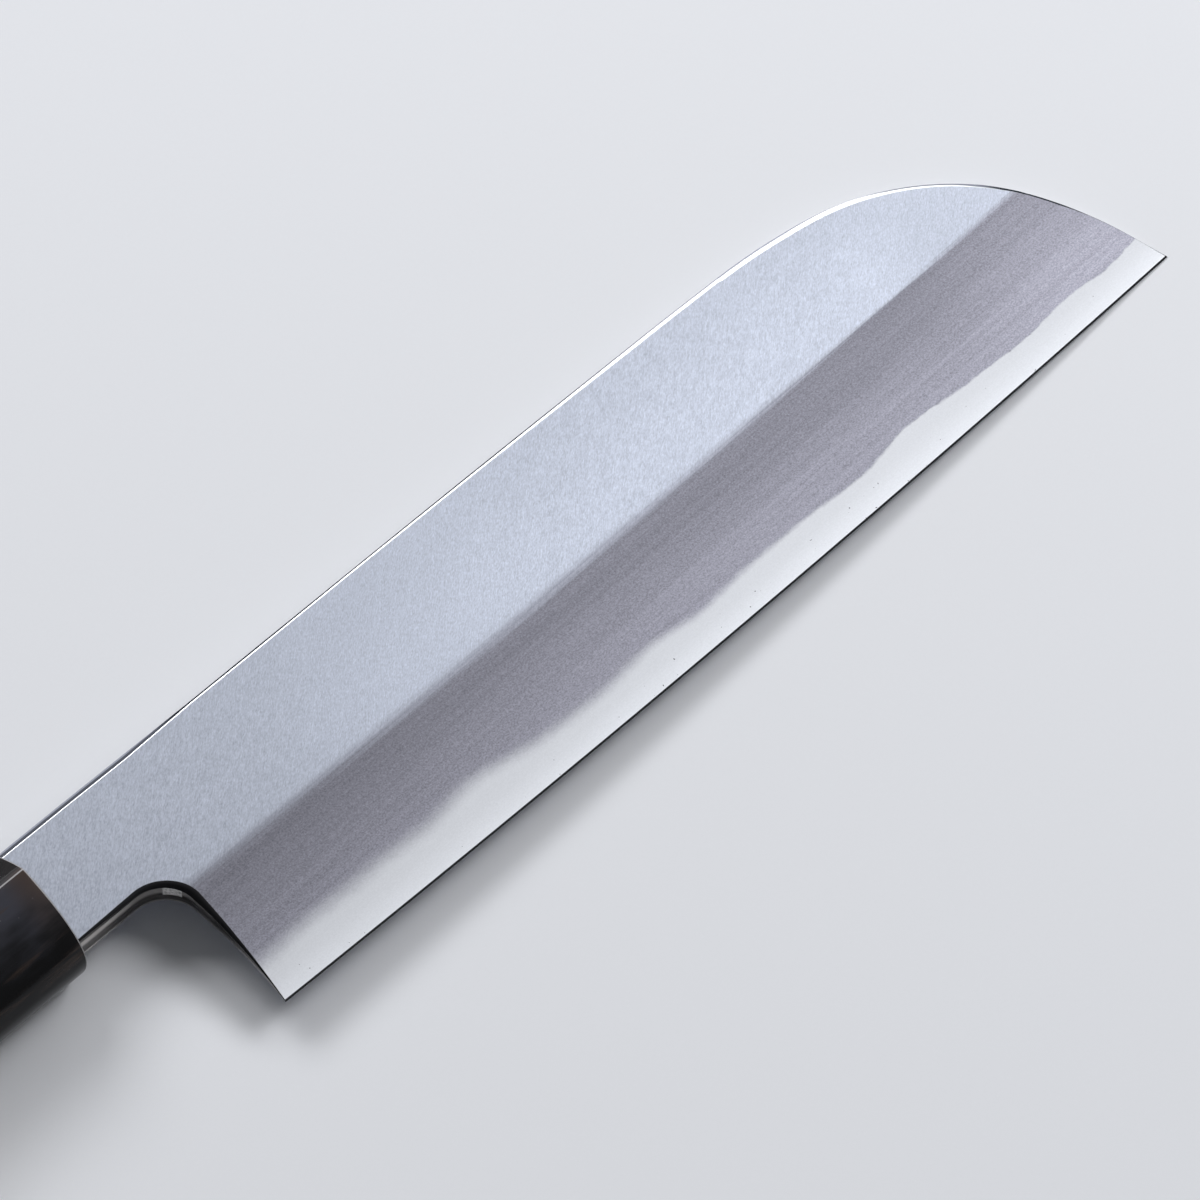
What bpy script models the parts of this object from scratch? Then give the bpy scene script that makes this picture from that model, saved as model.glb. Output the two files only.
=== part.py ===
"""A single-bevel vegetable knife: a blade welded from soft iron and hard steel, a horn
ferrule, and a wooden handle of D-shaped section.

The blade lies flat, its ground face up and its hollow back down. +X runs from the handle
to the tip and +Y from the edge to the spine. Measures are taken from the heel corner of
the edge, on the flat of the back. All lengths are in metres."""

import math

import bmesh
import bpy
from mathutils import Vector

# Blade outline
EDGE_LENGTH = 0.195
EDGE_BOW = 0.00136
HEEL_HEIGHT = 0.0473
NOSE_HEIGHT = 0.0461
NOSE_LENGTH = 0.0539
NOSE_SHOULDER = 0.0376
NOSE_TOE = 0.0273
NOSE_LEAN = math.radians(11.3)
NECK_LENGTH = 0.0162
NECK_HEIGHT = 0.0199
NECK_FILLET = 0.0062
CHOIL_LEAN = 0.00195
CHOIL_BOW = 0.0005

# Blade section
THICKNESS_NECK = 0.00452
THICKNESS_TIP = 0.0030
BEVEL_HEEL = 0.0229
BEVEL_TIP = 0.0249
RIDGE_SAG = 0.00145
RIDGE_SOFT_HEEL = 0.0010
RIDGE_SOFT_TIP = 0.0003
EDGE_LAND = 0.00005
MICRO_BEVEL_WIDTH = 0.0004
MICRO_BEVEL_ANGLE = math.radians(20.0)

# Rounding of the sharp corners along the outline
SPINE_ROUND_NECK = 0.0013
SPINE_ROUND = 0.00045
SPINE_ROUND_FADE = (0.024, 0.042)
NOSE_ROUND = 0.0011
TIP_ROUND = 0.0003
NECK_ROUND = 0.0006
CHOIL_ROUND = 0.0011
HEEL_ROUND = 0.00012
BACK_ROUND = 0.00035
TANG_ROUND = 0.0002

# Forge weld between the iron and the steel
WELD_LINE_TIP = 0.00566
WELD_LINE_HEEL = 0.00778
WELD_LINE_FADE = 2.3
WELD_LINE_CROWN = 0.00081
WELD_WAVES = (
    # height, length, phase
    (0.00019, 0.0186, 4.61),
    (0.00044, 0.0316, 4.45),
    (0.00045, 0.0567, 3.70),
    (0.00041, 0.0714, 2.92),
)
WELD_SEAM = 0.00002
STEEL_REACH = 0.0080
STEEL_SCARF = 0.0060
STEEL_FEATHER = 0.0001

# Hollow of the back
HOLLOW_WHEEL_RADIUS = 0.55
HOLLOW_RIM_EDGE = 0.0022
HOLLOW_RIM_SPINE = 0.0036
HOLLOW_RIM_TIP = 0.0045
HOLLOW_RIM_HEEL = 0.0050
HOLLOW_ROUND_END = 0.0140

# Tang
TANG_LENGTH = 0.100
TANG_SHOULDER = 0.0042
TANG_COVE = 0.0030
TANG_HEIGHT_ROOT = 0.0132
TANG_HEIGHT_END = 0.0056
TANG_THICKNESS_END = 0.0028

# Handle
HANDLE_LENGTH = 0.132
HANDLE_RAISE = 0.00045
FRONT_WIDTH = 0.0255
FRONT_BELLY = 0.0100
FRONT_CROWN = 0.0114
BUTT_WIDTH = 0.0268
BUTT_BELLY = 0.0106
BUTT_CROWN = 0.0118
CROWN_SLOPE = math.radians(18.0)
FERRULE_LENGTH = 0.028
FERRULE_FRONT_WALL = 0.0065
FERRULE_ROUND = 0.0004
TENON_WIDTH = 0.0172
TENON_THICKNESS = 0.0126
TENON_END_GAP = 0.0005
BUTT_ROUND = 0.0014
CLEARANCE = 0.0003

# Fineness of the facets
COLUMN_STEP = 0.0020
NOSE_COLUMN_STEP = 0.0012
NOSE_SEGMENTS = 44
CHOIL_SEGMENTS = 12
FILLET_SEGMENTS = 10
COVE_SEGMENTS = 4
SECTION_SEGMENTS = 30
HOLLOW_ROWS = 12

# A rounded corner in three facets: shares of its radius inward and down from the face
ROUNDING = ((0.0, 1.0), (0.134, 0.5), (0.5, 0.134), (1.0, 0.0))
ROUNDING_LAST_ANGLE = math.radians(15.0)

# How far a cutting shape runs past what it cuts, and rises clear of a face
OVERRUN = 0.004
CUT_RISE = 0.0001


# Small tools for numbers and curves

def mix(a, b, t):
    """The value a share t of the way from a to b."""
    return a + (b - a) * t


def clamp(value, low=0.0, high=1.0):
    return max(low, min(high, value))


def ease(t):
    """A smooth step from 0 to 1."""
    t = clamp(t)
    return t * t * (3.0 - 2.0 * t)


def bezier(a, b, c, d, t):
    """A point of the cubic curve with ends a and d and handles b and c."""
    u = 1.0 - t
    return a * u**3 + b * (3 * u * u * t) + c * (3 * u * t * t) + d * t**3


def arc(center, radius, start, end, segments):
    """Points of a circle from the angle start to the angle end, both included."""
    angles = [mix(start, end, i / segments) for i in range(segments + 1)]
    return [center + Vector((math.cos(a), math.sin(a))) * radius for a in angles]


def value_at(points, x):
    """The height of a curve at x, read along its points in order of rising x."""
    for a, b in zip(points, points[1:]):
        if a.x <= x <= b.x and b.x > a.x:
            return mix(a.y, b.y, (x - a.x) / (b.x - a.x))
    return points[0].y if x < points[0].x else points[-1].y


# Blade measures at a place along its length

def edge_y(x):
    """The edge bows gently outward between the heel and the tip."""
    t = clamp(x / EDGE_LENGTH)
    return -4.0 * EDGE_BOW * t * (1.0 - t)


def neck_axis_y():
    return HEEL_HEIGHT - NECK_HEIGHT / 2


def thickness(x):
    """Thickest at the neck, thinning forward to the tip and back to the end of the tang."""
    forward = (x + NECK_LENGTH) / (EDGE_LENGTH + NECK_LENGTH)
    if forward >= 0.0:
        return mix(THICKNESS_NECK, THICKNESS_TIP, min(forward, 1.0))
    return mix(THICKNESS_NECK, TANG_THICKNESS_END, clamp((-x - NECK_LENGTH) / TANG_LENGTH))


def ridge_y(x):
    """The line where the ground bevel meets the flat side, a little low in the middle."""
    t = clamp(x / EDGE_LENGTH)
    return mix(BEVEL_HEEL, BEVEL_TIP, t) - 4.0 * RIDGE_SAG * t * (1.0 - t)


def bevel_start_z():
    """The height of the bevel's foot, above the micro bevel of the edge."""
    return EDGE_LAND + MICRO_BEVEL_WIDTH * math.tan(MICRO_BEVEL_ANGLE)


def bevel_slope(x):
    run = ridge_y(x) - edge_y(x) - MICRO_BEVEL_WIDTH
    return (thickness(x) - bevel_start_z()) / run


def bevel_z(x, y):
    return bevel_start_z() + (y - edge_y(x) - MICRO_BEVEL_WIDTH) * bevel_slope(x)


def face_z(x, y):
    """The height of the upper side: the bevel below the ridge, the flat above it."""
    return clamp(bevel_z(x, y), EDGE_LAND, thickness(x))


def weld_line_y(x):
    """The wavy line where the weld comes out on the bevel."""
    t = clamp(x / EDGE_LENGTH)
    height = mix(WELD_LINE_HEEL, WELD_LINE_TIP, ease(t * WELD_LINE_FADE))
    height += 4.0 * WELD_LINE_CROWN * t * (1.0 - t)
    wave = sum(a * math.sin(2 * math.pi * x / length + phase) for a, length, phase in WELD_WAVES)
    return edge_y(x) + height + wave


def weld_z(x):
    """The height of the weld above the back, with the scarf that ends the steel in the neck."""
    scarf = ease((x + STEEL_REACH) / STEEL_SCARF)
    return mix(STEEL_FEATHER, bevel_z(x, weld_line_y(x)), scarf)


# Blade outline, once round with the metal on the right

def nose_curve():
    """The spine's curved end, from the straight spine down to the tip of the edge."""
    start = Vector((EDGE_LENGTH - NOSE_LENGTH, NOSE_HEIGHT))
    fall = Vector((start.x, NOSE_HEIGHT - HEEL_HEIGHT)).normalized()
    tip = Vector((EDGE_LENGTH, 0.0))
    rise = Vector((-math.sin(NOSE_LEAN), math.cos(NOSE_LEAN)))
    shoulder = start + fall * NOSE_SHOULDER
    toe = tip + rise * NOSE_TOE
    steps = range(NOSE_SEGMENTS + 1)
    return [bezier(start, shoulder, toe, tip, i / NOSE_SEGMENTS) for i in steps]


def choil_curve():
    """The back of the heel: a shallow arc up from the edge, then the fillet into the neck."""
    neck_y = HEEL_HEIGHT - NECK_HEIGHT
    top = Vector((CHOIL_LEAN, neck_y - NECK_FILLET))
    chord = top.length
    across = Vector((top.y, -top.x)) / chord
    points = []
    for i in range(CHOIL_SEGMENTS):
        t = i / CHOIL_SEGMENTS
        points.append(top * t + across * (4 * CHOIL_BOW * t * (1 - t)))
    center = Vector((top.x - NECK_FILLET, top.y))
    return points + arc(center, NECK_FILLET, 0.0, math.pi / 2, FILLET_SEGMENTS)


def tang_side():
    """The lower side of the tang, from the shoulder in the handle back to its end."""
    axis = neck_axis_y()
    shoulder_x = -NECK_LENGTH - TANG_SHOULDER
    root_y = axis - TANG_HEIGHT_ROOT / 2
    cove_x = shoulder_x - TANG_COVE
    step = root_y - (HEEL_HEIGHT - NECK_HEIGHT)
    end = Vector((-NECK_LENGTH - TANG_LENGTH, axis - TANG_HEIGHT_END / 2))
    points = [Vector((shoulder_x, root_y - step))]
    for i in range(1, COVE_SEGMENTS + 1):
        angle = i / COVE_SEGMENTS * math.pi / 2
        x = mix(shoulder_x, cove_x, 1 - math.cos(angle))
        points.append(Vector((x, root_y - step * (1 - math.sin(angle)))))
    corner = TANG_HEIGHT_END * 0.4
    points.append(end + Vector((corner, 0)))
    points.append(end + Vector((corner * 0.3, corner * 0.3)))
    points.append(end + Vector((0, corner)))
    return points


def mirrored(points):
    """The same points on the other side of the tang's axis, in backward order."""
    axis = neck_axis_y()
    return [Vector((p.x, 2 * axis - p.y)) for p in reversed(points)]


def spine_points():
    """The straight spine, with a point wherever the rounding of its corner changes."""
    end = EDGE_LENGTH - NOSE_LENGTH
    rise = (NOSE_HEIGHT - HEEL_HEIGHT) / end
    fade = [mix(*SPINE_ROUND_FADE, i / 5) for i in range(6)]
    stops = [-NECK_LENGTH / 2, 0.0] + fade + [mix(SPINE_ROUND_FADE[1], end, 0.5)]
    return [Vector((x, HEEL_HEIGHT + max(x, 0.0) * rise)) for x in stops]


def outline():
    """Each point of the outline with the rounding of its upper corner: (point, rounding)."""
    below = -2.5 * OVERRUN
    choil = choil_curve()
    heel_way = (choil[0] - choil[1]).normalized()
    nose = nose_curve()
    tip_way = (nose[-1] - nose[-2]).normalized()
    found = []
    found.append((choil[0] + heel_way * (-below / -heel_way.y), HEEL_ROUND))
    for i, point in enumerate(choil):
        share = clamp(i / CHOIL_SEGMENTS)
        width = mix(HEEL_ROUND, CHOIL_ROUND, share**1.6)
        width = mix(width, NECK_ROUND, clamp((i - CHOIL_SEGMENTS) / FILLET_SEGMENTS))
        found.append((point, width))
    tang = tang_side()
    found += [(p, TANG_ROUND) for p in tang + mirrored(tang)]
    for point in spine_points():
        fade = ease((point.x - SPINE_ROUND_FADE[0]) / (SPINE_ROUND_FADE[1] - SPINE_ROUND_FADE[0]))
        found.append((point, mix(SPINE_ROUND_NECK, SPINE_ROUND, fade)))
    for i, point in enumerate(nose):
        t = i / NOSE_SEGMENTS
        width = mix(SPINE_ROUND, NOSE_ROUND, ease(t / 0.45))
        found.append((point, mix(width, TIP_ROUND, ease((t - 0.5) / 0.35))))
    found.append((nose[-1] + tip_way * (-below / -tip_way.y), TIP_ROUND))
    return found


def inward_normals(points):
    """For each point of a closed outline, the way that moves both its sides inward alike."""
    normals = []
    count = len(points)
    for i, point in enumerate(points):
        before = (point - points[i - 1]).normalized()
        after = (points[(i + 1) % count] - point).normalized()
        a = Vector((before.y, -before.x))
        b = Vector((after.y, -after.x))
        normals.append((a + b) / (1.0 + a.dot(b)))
    return normals


# Mesh building

def mesh_object(name, vertices, faces, material=None, parent=None):
    mesh = bpy.data.meshes.new(name)
    mesh.from_pydata(vertices, [], faces)
    obj = bpy.data.objects.new(name, mesh)
    bpy.context.scene.collection.objects.link(obj)
    obj.parent = parent
    if material:
        mesh.materials.append(material)
    return obj


def recalculate_normals(obj):
    work = bmesh.new()
    work.from_mesh(obj.data)
    bmesh.ops.recalc_face_normals(work, faces=work.faces)
    work.to_mesh(obj.data)
    work.free()


def skin(name, rings, material=None, parent=None):
    """A closed body over a row of rings, each with the same number of points."""
    count = len(rings[0])
    vertices = [point for ring in rings for point in ring]
    faces = [tuple(range(count)), tuple((len(rings) - 1) * count + i for i in range(count))]
    for r in range(len(rings) - 1):
        for i in range(count):
            j = (i + 1) % count
            a, b = r * count, (r + 1) * count
            faces.append((a + i, a + j, b + j, b + i))
    obj = mesh_object(name, vertices, faces, material, parent)
    recalculate_normals(obj)
    return obj


def hide_as_cutter(obj):
    obj.hide_render = True
    obj.display_type = "WIRE"
    return obj


def add_boolean(obj, other, operation):
    modifier = obj.modifiers.new(operation.title(), "BOOLEAN")
    modifier.object = other
    modifier.operation = operation
    modifier.solver = "EXACT"


def shade_round(obj, angle=math.radians(28.0)):
    """Smooth shading, with an edge kept sharp where its faces turn more than the angle."""
    obj.data.shade_smooth()
    obj.data.set_sharp_from_angle(angle=angle)


# Blade solids

def blade_columns(start):
    """Places along the blade, from start past the tip, closer together at the nose."""
    nose = EDGE_LENGTH - HOLLOW_ROUND_END * 2
    places = [start]
    while places[-1] < EDGE_LENGTH + OVERRUN:
        step = COLUMN_STEP if places[-1] < nose else NOSE_COLUMN_STEP
        places.append(places[-1] + step)
    return places


def hollow_span(x, nose):
    """The lower and upper end of the hollow at x, and its depth there."""
    front = EDGE_LENGTH - HOLLOW_RIM_TIP - NOSE_TOE * math.sin(NOSE_LEAN)
    back = CHOIL_LEAN + HOLLOW_RIM_HEEL
    low = edge_y(x) + HOLLOW_RIM_EDGE
    spine = value_at(nose, clamp(x + HOLLOW_RIM_TIP, nose[0].x, EDGE_LENGTH))
    high = max(low, min(spine, HEEL_HEIGHT) - HOLLOW_RIM_SPINE)
    inside = clamp(min(x - back, front - x) / HOLLOW_ROUND_END)
    share = math.sqrt(1.0 - (1.0 - inside) ** 2)
    width = (high - low) * share
    depth = width * width / (8.0 * HOLLOW_WHEEL_RADIUS)
    room = max(width, HOLLOW_RIM_EDGE)
    middle = max((low + high) / 2, low + room / 2)
    return middle - room / 2, middle + room / 2, depth


def steel_section(x, nose):
    """The steel at x: a thin layer over the whole back, coming out as the edge."""
    top_y = HEEL_HEIGHT + OVERRUN
    foot = edge_y(x)
    under_weld = weld_z(x) - WELD_SEAM / 2
    out_y = foot + MICRO_BEVEL_WIDTH + (under_weld - bevel_start_z()) / bevel_slope(x)
    out_y = max(out_y, foot + MICRO_BEVEL_WIDTH * 1.5)
    section = [
        (foot, 0.0),
        (foot, min(EDGE_LAND, under_weld)),
        (foot + MICRO_BEVEL_WIDTH, min(bevel_start_z(), under_weld)),
        (out_y, under_weld),
        (mix(out_y, top_y, 0.4), under_weld),
        (top_y, under_weld),
        (top_y, 0.0),
    ]
    low, high, depth = hollow_span(x, nose)
    for i in range(HOLLOW_ROWS + 1):
        t = i / HOLLOW_ROWS
        section.append((mix(high, low, t), 4.0 * depth * t * (1.0 - t)))
    return [Vector((x, y, z)) for y, z in section]


def iron_section(x, over_weld):
    """The iron at x: the body of the blade above the weld, with the bevel and the flat."""
    top_y = HEEL_HEIGHT + OVERRUN
    slope = bevel_slope(x)
    full = thickness(x)
    ridge = ridge_y(x)
    soft = mix(RIDGE_SOFT_HEEL, RIDGE_SOFT_TIP, clamp(x / EDGE_LENGTH))
    out_y = edge_y(x) + MICRO_BEVEL_WIDTH + (over_weld - bevel_start_z()) / slope
    section = [
        (out_y, over_weld),
        (mix(out_y, ridge - soft, 0.5), mix(over_weld, full - soft * slope, 0.5)),
        (ridge - soft, full - soft * slope),
        (ridge, full - soft * slope / 4),
        (ridge + soft, full),
        (top_y, full),
        (top_y, over_weld),
        (mix(out_y, top_y, 0.4), over_weld),
    ]
    return [Vector((x, y, z)) for y, z in section]


def steel_stock(material, parent):
    nose = nose_curve()
    rings = [steel_section(x, nose) for x in blade_columns(-STEEL_REACH)]
    return skin("steel_layer", rings, material, parent)


def iron_stock(material, parent):
    back = -NECK_LENGTH - TANG_LENGTH - OVERRUN
    rings = [iron_section(x, 0.0) for x in (back, -NECK_LENGTH - TANG_LENGTH, -NECK_LENGTH)]
    rings.append(iron_section(-STEEL_REACH - 2 * WELD_SEAM, 0.0))
    for x in blade_columns(-STEEL_REACH - WELD_SEAM):
        rings.append(iron_section(x, weld_z(max(x, -STEEL_REACH)) + WELD_SEAM / 2))
    return skin("iron_body", rings, material, parent)


def outline_cutter(parent):
    """The whole outline as a tall block whose walls lean in at the rounded corners."""
    stops = outline()
    inward = inward_normals([point for point, _ in stops])
    cap = max(THICKNESS_NECK, THICKNESS_TIP) + OVERRUN
    rings = [[] for _ in range(len(ROUNDING) + 4)]
    for (point, width), way in zip(stops, inward):
        face = face_z(point.x, point.y)
        back_width = min(width, BACK_ROUND)
        drop = min(width, face / 2)
        steps = [(back_width + CUT_RISE, -CUT_RISE), (0.0, min(back_width, face / 4))]
        steps += [(width * inward_share, face - drop * down) for inward_share, down in ROUNDING]
        last = width + CUT_RISE / math.tan(ROUNDING_LAST_ANGLE)
        steps += [(last, face + CUT_RISE), (last, cap)]
        for ring, (inset, height) in zip(rings, steps):
            place = point + way * inset
            ring.append((place.x, place.y, height))
    return hide_as_cutter(skin("outline_cutter", rings, parent=parent))


def blade_parts(iron, steel, parent):
    """Both metals, cut along one outline so that their sides run flush."""
    cutter = outline_cutter(parent)
    parts = [iron_stock(iron, parent), steel_stock(steel, parent)]
    for part in parts:
        add_boolean(part, cutter, "INTERSECT")
        shade_round(part)
    return parts


# Handle solids

def handle_center():
    return Vector((neck_axis_y() + HANDLE_RAISE, THICKNESS_NECK / 2))


def handle_share(x):
    """0 at the front of the ferrule and 1 at the butt."""
    return clamp((-x - NECK_LENGTH) / HANDLE_LENGTH)


def handle_ring(x, inset=0.0):
    """The D-shaped section at x: an oval belly below and two flanks that meet in a ridge."""
    center = handle_center()
    share = handle_share(x)
    half = mix(FRONT_WIDTH, BUTT_WIDTH, share) / 2 - inset
    belly = mix(FRONT_BELLY, BUTT_BELLY, share) - inset
    crown = mix(FRONT_CROWN, BUTT_CROWN, share) - inset
    side = Vector((half, 0.0))
    side_handle = Vector((half, crown * 0.44))
    top = Vector((0.0, crown))
    reach = half * 0.45
    top_handle = top + Vector((reach, -reach * math.tan(CROWN_SLOPE)))
    steps = range(SECTION_SEGMENTS)
    flank = [bezier(side, side_handle, top_handle, top, i / SECTION_SEGMENTS) for i in steps]
    far_flank = [Vector((-p.x, p.y)) for p in reversed(flank[1:])]
    around = [math.pi * (1 + i / SECTION_SEGMENTS) for i in steps]
    under = [Vector((half * math.cos(a), belly * math.sin(a))) for a in around]
    section = flank + [top] + far_flank + under
    return [(x, center.x + p.x, center.y + p.y) for p in section]


def oval_ring(x, width, depth):
    center = handle_center()
    count = SECTION_SEGMENTS
    turns = [2 * math.pi * i / count for i in range(count)]
    return [
        (x, center.x + width / 2 * math.cos(a), center.y + depth / 2 * math.sin(a))
        for a in turns
    ]


def rounded_end(x, toward, radius):
    """Rings that round the handle off at x, going the way of toward."""
    rings = []
    for i in range(4):
        angle = i / 3 * math.pi / 2
        inset = radius * (1 - math.cos(angle))
        rings.append(handle_ring(x - toward * radius * (1 - math.sin(angle)), inset))
    return rings


def slot_ring(x, low, high, deep):
    """A rectangle round the tang at x, a clearance larger on every side."""
    bottom, top = -CLEARANCE, deep + CLEARANCE
    low, high = low - CLEARANCE, high + CLEARANCE
    return [(x, low, bottom), (x, high, bottom), (x, high, top), (x, low, top)]


def neck_slot_cutter(parent):
    """The slot in the ferrule's front wall, shaped to the neck."""
    low, high = HEEL_HEIGHT - NECK_HEIGHT, HEEL_HEIGHT
    front = -NECK_LENGTH + OVERRUN
    back = -NECK_LENGTH - FERRULE_FRONT_WALL - OVERRUN / 4
    rings = [slot_ring(x, low, high, THICKNESS_NECK) for x in (front, back)]
    return hide_as_cutter(skin("neck_slot_cutter", rings, parent=parent))


def tang_slot_cutter(parent):
    """The tapered slot in the wood, shaped to the tang behind its shoulder."""
    axis = neck_axis_y()
    root_x = -NECK_LENGTH - TANG_SHOULDER - TANG_COVE
    end_x = -NECK_LENGTH - TANG_LENGTH - CLEARANCE
    growth = (TANG_HEIGHT_ROOT - TANG_HEIGHT_END) / (root_x - end_x)
    rings = []
    for x in (-NECK_LENGTH - FERRULE_FRONT_WALL + OVERRUN / 4, end_x):
        half = (TANG_HEIGHT_END + growth * (x - end_x)) / 2
        rings.append(slot_ring(x, axis - half, axis + half, thickness(x)))
    return hide_as_cutter(skin("tang_slot_cutter", rings, parent=parent))


def bore_cutter(parent):
    """The blind bore in the back of the ferrule, which takes the wooden tenon."""
    front = -NECK_LENGTH - FERRULE_FRONT_WALL
    back = -NECK_LENGTH - FERRULE_LENGTH - OVERRUN
    width, depth = TENON_WIDTH + 2 * CLEARANCE, TENON_THICKNESS + 2 * CLEARANCE
    rings = [oval_ring(x, width, depth) for x in (front, back)]
    return hide_as_cutter(skin("bore_cutter", rings, parent=parent))


def ferrule(material, parent):
    front = -NECK_LENGTH
    back = -NECK_LENGTH - FERRULE_LENGTH
    rings = [handle_ring(back)] + rounded_end(front, 1.0, FERRULE_ROUND)
    part = skin("horn_ferrule", rings, material, parent)
    add_boolean(part, bore_cutter(parent), "DIFFERENCE")
    add_boolean(part, neck_slot_cutter(parent), "DIFFERENCE")
    shade_round(part)
    return part


def tenon(parent):
    front = -NECK_LENGTH - FERRULE_FRONT_WALL - TENON_END_GAP
    back = -NECK_LENGTH - FERRULE_LENGTH - OVERRUN
    rings = [oval_ring(x, TENON_WIDTH, TENON_THICKNESS) for x in (front, back)]
    return hide_as_cutter(skin("tenon", rings, parent=parent))


def wood_handle(material, parent):
    """The wooden grip with its tenon, slotted for the tang."""
    front = -NECK_LENGTH - FERRULE_LENGTH
    butt = -NECK_LENGTH - HANDLE_LENGTH
    rings = [handle_ring(front)] + rounded_end(butt, -1.0, BUTT_ROUND)
    part = skin("wood_handle", rings, material, parent)
    add_boolean(part, tenon(parent), "UNION")
    add_boolean(part, tang_slot_cutter(parent), "DIFFERENCE")
    shade_round(part)
    return part


# Materials

def material(name, color, roughness, metallic=0.0):
    made = bpy.data.materials.new(name)
    made.use_nodes = True
    shader = made.node_tree.nodes["Principled BSDF"]
    shader.inputs["Base Color"].default_value = (*color, 1.0)
    shader.inputs["Roughness"].default_value = roughness
    shader.inputs["Metallic"].default_value = metallic
    made.diffuse_color = (*color, 1.0)
    return made


def soft_iron():
    return material("soft_iron", (0.52, 0.54, 0.58), 0.38, 1.0)


def hard_steel():
    return material("hard_steel", (0.80, 0.81, 0.83), 0.25, 1.0)


def dark_horn():
    return material("dark_horn", (0.020, 0.017, 0.015), 0.30)


def pale_wood():
    return material("pale_wood", (0.62, 0.52, 0.36), 0.60)


# Assembly

def knife_root():
    """Carries the knife so that the scene's origin is under the middle of its box."""
    center = handle_center()
    butt = -NECK_LENGTH - HANDLE_LENGTH
    low_y = min(-EDGE_BOW, center.x - BUTT_WIDTH / 2)
    high_y = max(HEEL_HEIGHT, NOSE_HEIGHT, center.x + BUTT_WIDTH / 2)
    low_z = center.y - max(FRONT_BELLY, BUTT_BELLY)
    root = bpy.data.objects.new("knife_root", None)
    root.location = (-(butt + EDGE_LENGTH) / 2, -(low_y + high_y) / 2, -low_z)
    bpy.context.scene.collection.objects.link(root)
    return root


def main():
    for obj in list(bpy.data.objects):
        bpy.data.objects.remove(obj, do_unlink=True)
    root = knife_root()
    blade_parts(soft_iron(), hard_steel(), root)
    ferrule(dark_horn(), root)
    wood_handle(pale_wood(), root)


main()
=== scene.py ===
import math

import bmesh
import bpy
import numpy as np
from mathutils import Matrix, Vector
from mathutils.geometry import delaunay_2d_cdt


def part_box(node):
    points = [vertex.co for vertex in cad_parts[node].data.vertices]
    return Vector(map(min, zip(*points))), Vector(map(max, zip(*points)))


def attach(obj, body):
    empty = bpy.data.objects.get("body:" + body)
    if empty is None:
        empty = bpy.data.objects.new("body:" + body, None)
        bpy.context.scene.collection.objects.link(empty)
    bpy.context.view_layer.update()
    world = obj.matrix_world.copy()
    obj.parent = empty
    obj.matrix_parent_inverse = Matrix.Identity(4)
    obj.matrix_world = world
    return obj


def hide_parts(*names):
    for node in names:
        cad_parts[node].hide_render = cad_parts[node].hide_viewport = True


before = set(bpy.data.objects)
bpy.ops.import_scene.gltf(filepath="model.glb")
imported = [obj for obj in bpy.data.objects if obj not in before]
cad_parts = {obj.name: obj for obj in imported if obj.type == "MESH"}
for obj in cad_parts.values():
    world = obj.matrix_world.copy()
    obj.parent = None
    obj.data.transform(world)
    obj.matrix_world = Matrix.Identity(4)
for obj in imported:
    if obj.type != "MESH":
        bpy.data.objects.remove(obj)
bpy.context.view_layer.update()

# Lengths are in millimetres up to the last step, from the heel corner of the edge on the
# flat of the back: x towards the tip, y towards the spine, z up through the ground face.
MM = 0.001

# Blade outline and section. They are those of the solids, but for the swells below and the
# rounding of the spine at the neck, which is finer here.
EDGE_LENGTH, EDGE_BOW = 195.0, 1.36
HEEL_HEIGHT, NOSE_HEIGHT, NOSE_LENGTH = 47.3, 46.1, 53.9
NOSE_SHOULDER, NOSE_TOE, NOSE_LEAN = 37.6, 27.3, math.radians(11.3)
NECK_LENGTH, NECK_HEIGHT, NECK_FILLET = 16.2, 19.9, 6.2
NECK_AXIS, NECK_LOW = HEEL_HEIGHT - NECK_HEIGHT / 2, HEEL_HEIGHT - NECK_HEIGHT
CHOIL_LEAN, CHOIL_BOW = 1.95, 0.5
THICKNESS_NECK, THICKNESS_TIP = 4.52, 3.0
BEVEL_HEEL, BEVEL_TIP, RIDGE_SAG = 22.9, 24.9, 1.45
RIDGE_SOFT_HEEL, RIDGE_SOFT_TIP = 1.0, 0.3
EDGE_LAND, MICRO_BEVEL, MICRO_ANGLE = 0.05, 0.4, math.radians(20.0)
SPINE_ROUND_NECK, SPINE_ROUND, SPINE_FADE = 0.6, 0.45, (24.0, 42.0)
NOSE_ROUND, TIP_ROUND, NECK_ROUND = 1.1, 0.3, 0.6
CHOIL_ROUND, HEEL_ROUND, BACK_ROUND, TANG_ROUND = 1.1, 0.12, 0.35, 0.2
CHOIL_WIDEN, NOSE_WIDEN, NOSE_NARROW, NARROW_SPAN = 1.6, 0.45, 0.5, 0.35
FACE_DROP, BACK_DROP = 0.5, 0.25
WELD_TIP, WELD_HEEL, WELD_FADE, WELD_CROWN = 5.66, 7.78, 2.3, 0.81
WELD_WAVES = ((0.19, 18.6, 4.61), (0.44, 31.6, 4.45), (0.45, 56.7, 3.70), (0.41, 71.4, 2.92))
WELD_SEAM, STEEL_REACH, STEEL_SCARF, STEEL_FEATHER = 0.02, 8.0, 6.0, 0.1
HOLLOW_RADIUS, HOLLOW_END = 550.0, 14.0
RIM_EDGE, RIM_SPINE, RIM_TIP, RIM_HEEL = 2.2, 3.6, 4.5, 5.0

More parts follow.
